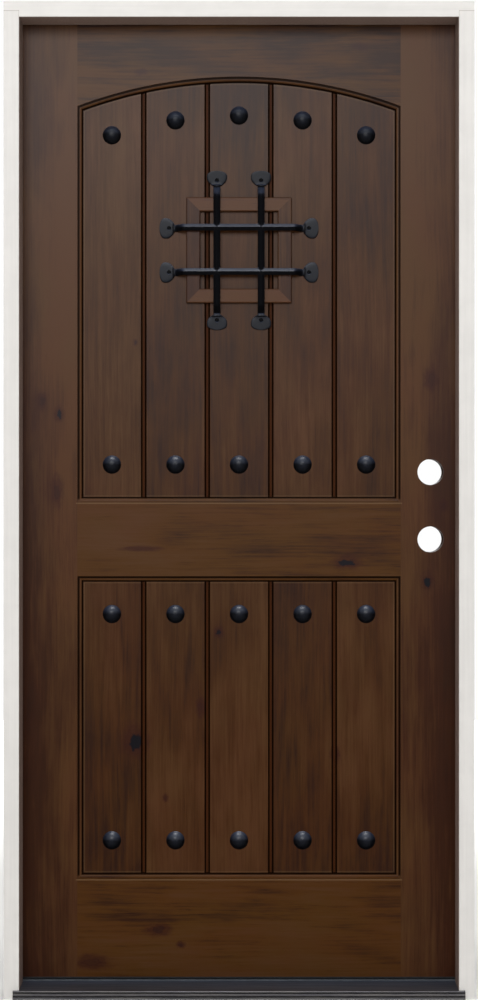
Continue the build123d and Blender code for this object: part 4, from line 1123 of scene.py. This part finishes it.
class FRONTDOOR_OT_leaf_boards(bpy.types.Operator):
    """Stain the stiles, rails, planks, window trim and flap"""

    bl_idname = "front_door.leaf_boards"
    bl_label = "Leaf Boards"

    def execute(self, context):
        colours = context.scene.door_colours
        wood = StainedWood(context.scene.door_sizes, colours)
        stile_knots = [
            knot(0.3906, 0.8475, 0.0055, 1.5),
            knot(0.3990, 1.2670, 0.0060, 1.6, 0.1),
            knot(0.4240, 1.0050, 0.0035, 1.6, 0.1),
            knot(-0.3727, 1.1950, 0.0042, 1.5, 0.95),
            knot(-0.4075, 1.2220, 0.0045, 1.6, 0.25),
            knot(-0.3770, 1.0360, 0.0050, 2.5, 0.2),
        ]
        rail_knots = [
            knot(0.2235, 0.8868, 0.0062, 1.9, 0.95, False),
            knot(-0.2026, 0.9158, 0.0022, 8.0, 0.0, False),
            knot(-0.1678, 0.1258, 0.0055, 2.0, 0.3, False),
            knot(-0.1207, 0.0948, 0.0028, 1.4, 0.3, False),
            knot(-0.3030, 0.0588, 0.0060, 2.6, 0.1, False),
            knot(-0.2026, 1.904, 0.0030, 1.8, 0.1, False),
            knot(0.252, 1.956, 0.0030, 2.4, 0.1, False),
        ]
        plank_knots = [
            knot(-0.2164, 0.5140, 0.0110, 1.2),
            knot(-0.0428, 0.7420, 0.0042, 1.3, 0.9),
            knot(-0.2150, 1.3440, 0.0018, 1.6, 0.5),
            knot(-0.1530, 0.3980, 0.0025, 1.4, 0.1),
            knot(0.1998, 0.4877, 0.0040, 1.8, 0.1),
            knot(-0.0779, 0.5860, 0.0045, 1.8, 0.1),
        ]
        rails = ["top_rail", "lock_rail", "bottom_rail"]
        planks = [name for name in nodes if "_plank_" in name] + ["speakeasy_flap"]
        level_trim = ["window_trim_top", "window_trim_bottom"]
        upright_trim = ["window_trim_left", "window_trim_right"]
        stile = {"knots": stile_knots, "stile": True}
        rail = {"knots": rail_knots}
        plank = {"knots": plank_knots, "planks": True}
        trim = {"edges": False}
        for boards, name, grain, middle, shift, details in (
            (["hinge_stile"], "Stained hinge stile", "Z", colours.stain_middle, (3.1, 0.4, 1.7), stile),
            (["lock_stile"], "Stained lock stile", "Z", colours.stain_middle, (7.3, 1.1, 4.2), stile),
            (rails, "Stained rail", "X", colours.rail_middle, (1.3, 5.2, 0.6), rail),
            (planks, "Stained plank", "Z", colours.plank_middle, (0.7, 2.2, 9.1), plank),
            # The level trim's lighter stain is partly painted light from above.
            (level_trim, "Stained trim level", "X", colours.trim_stain_and_sheen, (6.1, 3.3, 2.5), trim),
            (upright_trim, "Stained trim upright", "Z", colours.stain_middle, (4.4, 8.2, 3.9), trim),
        ):
            set_material(boards, wood.make(name, grain, middle, shift, **details))
        dowel = plain_wood_material("Raw dowel wood", colours.raw_wood, "X", 0.6)
        set_material(["rail_dowels"], dowel)
        return {"FINISHED"}


class FRONTDOOR_OT_frame_boards(bpy.types.Operator):
    """Prime the jambs and finish the sill and the threshold"""

    bl_idname = "front_door.frame_boards"
    bl_label = "Frame and Sill"

    def execute(self, context):
        colours = context.scene.door_colours
        sizes = context.scene.door_sizes
        upright = primer_material("White primer", sizes, colours, "Z")
        level = primer_material("White head primer", sizes, colours, "X")
        block = soft_material("Sill composite", colours.composite, 60, 0.6)
        cap = soft_material("Threshold cap composite", colours.cap, 40, 0.4)
        set_material(["hinge_jamb", "strike_jamb"], upright)
        set_material(["head_jamb"], level)
        set_material(["sill_deck"], sill_material(sizes, colours))
        set_material(["sill_substrate"], block)
        set_material(["threshold_cap"], cap)
        set_material(["cap_adjusters"], metal_material("Zinc steel", colours.zinc, 0.35, "Z"))
        return {"FINISHED"}


class FRONTDOOR_OT_hinges(bpy.types.Operator):
    """Finish the butt hinges of the leaf"""

    bl_idname = "front_door.hinges"
    bl_label = "Hinges"

    def execute(self, context):
        bronze = metal_material("Dark hinge bronze", context.scene.door_colours.hinge, 0.4, "Z")
        ends = ("_hinge_jamb_leaf", "_hinge_door_leaf", "_hinge_pin")
        set_material([name for name in nodes if name.endswith(ends)], bronze)
        return {"FINISHED"}


class FRONTDOOR_OT_window_hardware(bpy.types.Operator):
    """Blacken the flap hinges and the slide bolt"""

    bl_idname = "front_door.window_hardware"
    bl_label = "Window Hardware"

    def execute(self, context):
        iron = iron_material(context.scene.door_colours)
        names = [name for name in nodes if "_flap_hinge_" in name]
        names += ["flap_hinge_pins", "bolt_keeper", "bolt_housing", "slide_bolt"]
        set_material(names, iron)
        return {"FINISHED"}


class FRONTDOOR_OT_seals(bpy.types.Operator):
    """Build the soft seals of the frame and the sweep under the leaf"""

    bl_idname = "front_door.seals"
    bl_label = "Seals and Sweep"

    def execute(self, context):
        colours = context.scene.door_colours
        brown = soft_material("Brown seal vinyl", colours.seal, 90, 0.55)
        black = soft_material("Black sweep vinyl", colours.vinyl, 90, 0.5)
        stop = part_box("head_seal")[1].y - context.scene.door_sizes.bulb_height
        right = Vector((1, 0, 0))
        for name, across, run in (
            ("hinge_side_seal", right, UP),
            ("strike_side_seal", -right, UP),
            ("head_seal", DOWN, right),
        ):
            low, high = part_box(name)
            size = high - low
            reach = size.dot(across)
            start = Vector((low.x, stop, low.z)) + across * min(0, reach)
            end = start + run * size.dot(run)
            points = seal_outline(abs(reach), high.y - stop, stop - low.y)
            mesh = strip_mesh(name, points, start, end, across, INTO_ROOM)
            new_piece(name + "_bulb", mesh, "frame", [name], brown)
        low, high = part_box("door_sweep")
        points = sweep_outline(low, high)
        mesh = strip_mesh("door_sweep", points, low, Vector((high.x, low.y, low.z)), INTO_ROOM, UP)
        new_piece("door_sweep_fins", mesh, "door_leaf", ["door_sweep"], black)
        return {"FINISHED"}


class FRONTDOOR_OT_clavos(bpy.types.Operator):
    """Set the hammered nail domes on the planks"""

    bl_idname = "front_door.clavos"
    bl_label = "Clavos"

    def execute(self, context):
        # The domes carry the painted highlight on their upper faces.
        iron = iron_material(context.scene.door_colours, "Dome iron with painted highlight", 0.95)
        for name in ("upper_clavos", "lower_clavos"):
            shape = clavo_mesh(context.scene.door_sizes)
            mesh = shapes_at(name, clavo_places(name), shape, iron)
            new_piece(name + "_hammered", mesh, "door_leaf", [name])
        return {"FINISHED"}


class FRONTDOOR_OT_grille(bpy.types.Operator):
    """Forge the window grille from four bars with spade feet"""

    bl_idname = "front_door.grille"
    bl_label = "Window Grille"

    def execute(self, context):
        sizes = context.scene.door_sizes
        low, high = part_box("window_grille")
        level = (low.z + high.z) / 2
        half_length = (high.z - low.z) / 2
        offset = sizes.bar_pitch / 2
        out = Vector((0, -1, 0))
        places = []
        for side in (-1, 1):
            places.append((Vector((side * offset, high.y, level)), out, 0.0))
            places.append((Vector((0, high.y, level + side * offset)), out, math.pi / 2))
        iron = iron_material(context.scene.door_colours)
        mesh = shapes_at("grille", places, bar_mesh(sizes, half_length), iron, weld=True)
        new_piece("forged_grille", mesh, "door_leaf", ["window_grille"])
        return {"FINISHED"}


class FRONTDOOR_OT_screws(bpy.types.Operator):
    """Drive every screw, with its cross recess"""

    bl_idname = "front_door.screws"
    bl_label = "Screws"

    def execute(self, context):
        colours = context.scene.door_colours
        iron = iron_material(colours)
        bronze = bpy.data.materials["Dark hinge bronze"]
        zinc = bpy.data.materials["Zinc steel"]
        # The grille screws get almost none of the painted highlight.
        black = iron_material(colours, "Blackened screw iron", 0.05)
        groups = (
            ("grille_screws", "door_leaf", "black_iron", black),
            ("panel_hardware_screws", "door_leaf", "black_iron", iron),
            ("flap_hardware_screws", "flap", "black_iron", iron),
            ("hinge_door_screws", "door_leaf", "hinge_bronze", bronze),
            ("hinge_jamb_screws", "frame", "hinge_bronze", bronze),
            ("frame_screws", "frame", "zinc_steel", zinc),
        )
        for name, body, slot, material in groups:
            dice = random.Random(SCREW_SEED)
            found = screw_places(name)
            sink = context.scene.door_sizes.screw_sink if name == "grille_screws" else 0.0
            places = []
            for centre, out, head, length in found:
                places.append((centre - out * sink, out, dice.random() * math.pi))
            head, length = found[0][2:]
            mesh = shapes_at(name, places, screw_mesh(head, length - sink), material)
            new_piece(name + "_driven", mesh, body, [name])
        return {"FINISHED"}


def soft_lamp(name, place, target, size, power):
    lamp = bpy.data.lights.new(name, "AREA")
    lamp.shape = "RECTANGLE"
    lamp.size, lamp.size_y = size
    lamp.energy = power
    holder = bpy.data.objects.new(name, lamp)
    holder.location = place
    holder.rotation_euler = (Vector(target) - Vector(place)).to_track_quat("-Z", "Y").to_euler()
    bpy.context.scene.collection.objects.link(holder)


class FRONTDOOR_OT_stage(bpy.types.Operator):
    """Lay the floor, hang the soft lights and set the camera"""

    bl_idname = "front_door.stage"
    bl_label = "Stage"

    def execute(self, context):
        scene = context.scene
        stage = scene.door_stage
        self.make_floor(stage)
        self.make_world(scene, stage)
        soft_lamp("Key light", (-0.5, -6.0, 3.2), (0, 0, 1.2), (3.4, 2.8), stage.key_power)
        soft_lamp("Top light", (-0.1, -1.8, 5.2), (0, 0, 1.2), (2.4, 0.9), stage.top_power)
        soft_lamp("Overhead strip", (0, -0.7, 6.8), (0, -0.5, 1.2), (3.6, 0.9), stage.strip_power)
        soft_lamp("Rear light", (0.9, 5.0, 3.4), (0, 0, 1.0), (3.4, 2.6), stage.rear_power)
        self.make_camera(scene, stage)
        scene.view_settings.view_transform = "Standard"
        return {"FINISHED"}

    def make_floor(self, stage):
        half, back = 7.0, 5.0
        mesh = bpy.data.meshes.new("floor")
        corners = [(-half, -half, 0), (half, -half, 0), (half, back, 0), (-half, back, 0)]
        mesh.from_pydata(corners, [], [(0, 1, 2, 3)])
        floor = bpy.data.objects.new("floor", mesh)
        bpy.context.scene.collection.objects.link(floor)
        material, w, shader = new_material("Pale floor")
        place = w.place()
        patches = w.noise(place, 1.4, 2, 0.5)
        pale = tuple(c * 0.97 for c in stage.floor)
        w.feed(shader["Base Color"], w.mixed(patches, opaque(pale), opaque(stage.floor)))
        shader["Roughness"].default_value = 0.9
        seen = w.node("ShaderNodeLightPath").outputs["Is Camera Ray"]
        far = w.smooth(w.vector("LENGTH", place), 1.2, 3.6)
        shader["Emission Color"].default_value = (1, 1, 1, 1)
        w.feed(shader["Emission Strength"], w.times(seen, far))
        mesh.materials.append(material)

    def make_world(self, scene, stage):
        world = bpy.data.worlds.new("Studio")
        world.use_nodes = True
        tree = world.node_tree
        tree.nodes.clear()
        w = Wiring(tree)
        path = w.node("ShaderNodeLightPath").outputs
        seen = w.largest(path["Is Camera Ray"], path["Is Glossy Ray"], path["Is Transmission Ray"])
        strength = w.smooth(seen, 0.0, 1.0, stage.sky_share, 1.0)
        sky = w.node("ShaderNodeBackground", {"Color": (1, 1, 1, 1), "Strength": strength})
        output = w.node("ShaderNodeOutputWorld")
        tree.links.new(sky.outputs[0], output.inputs["Surface"])
        scene.world = world

    def make_camera(self, scene, stage):
        lens = bpy.data.cameras.new("Camera")
        lens.sensor_width = 36.0
        lens.lens = lens.sensor_width * stage.camera_distance / stage.picture_height
        lens.clip_end = 200.0
        camera = bpy.data.objects.new("Camera", lens)
        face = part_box("hinge_jamb")[0].y
        camera.location = (0, face - stage.camera_distance, stage.camera_level)
        camera.rotation_euler = (math.pi / 2, 0, 0)
        scene.collection.objects.link(camera)
        scene.camera = camera


class FRONTDOOR_PT_builder(bpy.types.Panel):
    """Sizes, colours and steps of the front door"""

    bl_idname = "FRONTDOOR_PT_builder"
    bl_label = "Front Door"
    bl_space_type = "VIEW_3D"
    bl_region_type = "UI"
    bl_category = "Front Door"

    def draw(self, context):
        for key, kind in GROUPS.items():
            box = self.layout.box()
            box.label(text=kind.__doc__)
            for value in kind.__annotations__:
                box.prop(getattr(context.scene, key), value)
        for operator in OPERATORS:
            self.layout.operator(operator.bl_idname)


OPERATORS = (
    FRONTDOOR_OT_leaf_boards,
    FRONTDOOR_OT_frame_boards,
    FRONTDOOR_OT_hinges,
    FRONTDOOR_OT_window_hardware,
    FRONTDOOR_OT_seals,
    FRONTDOOR_OT_clavos,
    FRONTDOOR_OT_grille,
    FRONTDOOR_OT_screws,
    FRONTDOOR_OT_stage,
)
GROUPS = {"door_sizes": DoorSizes, "door_colours": DoorColours, "door_stage": DoorStage}
CLASSES = (*GROUPS.values(), *OPERATORS, FRONTDOOR_PT_builder)


def register():
    for item in CLASSES:
        bpy.utils.register_class(item)
    for key, group in GROUPS.items():
        setattr(bpy.types.Scene, key, bpy.props.PointerProperty(type=group))


def unregister():
    for key in GROUPS:
        delattr(bpy.types.Scene, key)
    for item in reversed(CLASSES):
        bpy.utils.unregister_class(item)


def main():
    register()
    bpy.ops.front_door.leaf_boards()
    bpy.ops.front_door.frame_boards()
    bpy.ops.front_door.hinges()
    bpy.ops.front_door.window_hardware()
    bpy.ops.front_door.seals()
    bpy.ops.front_door.clavos()
    bpy.ops.front_door.grille()
    bpy.ops.front_door.screws()
    bpy.ops.front_door.stage()


if __name__ == "__main__":
    main()
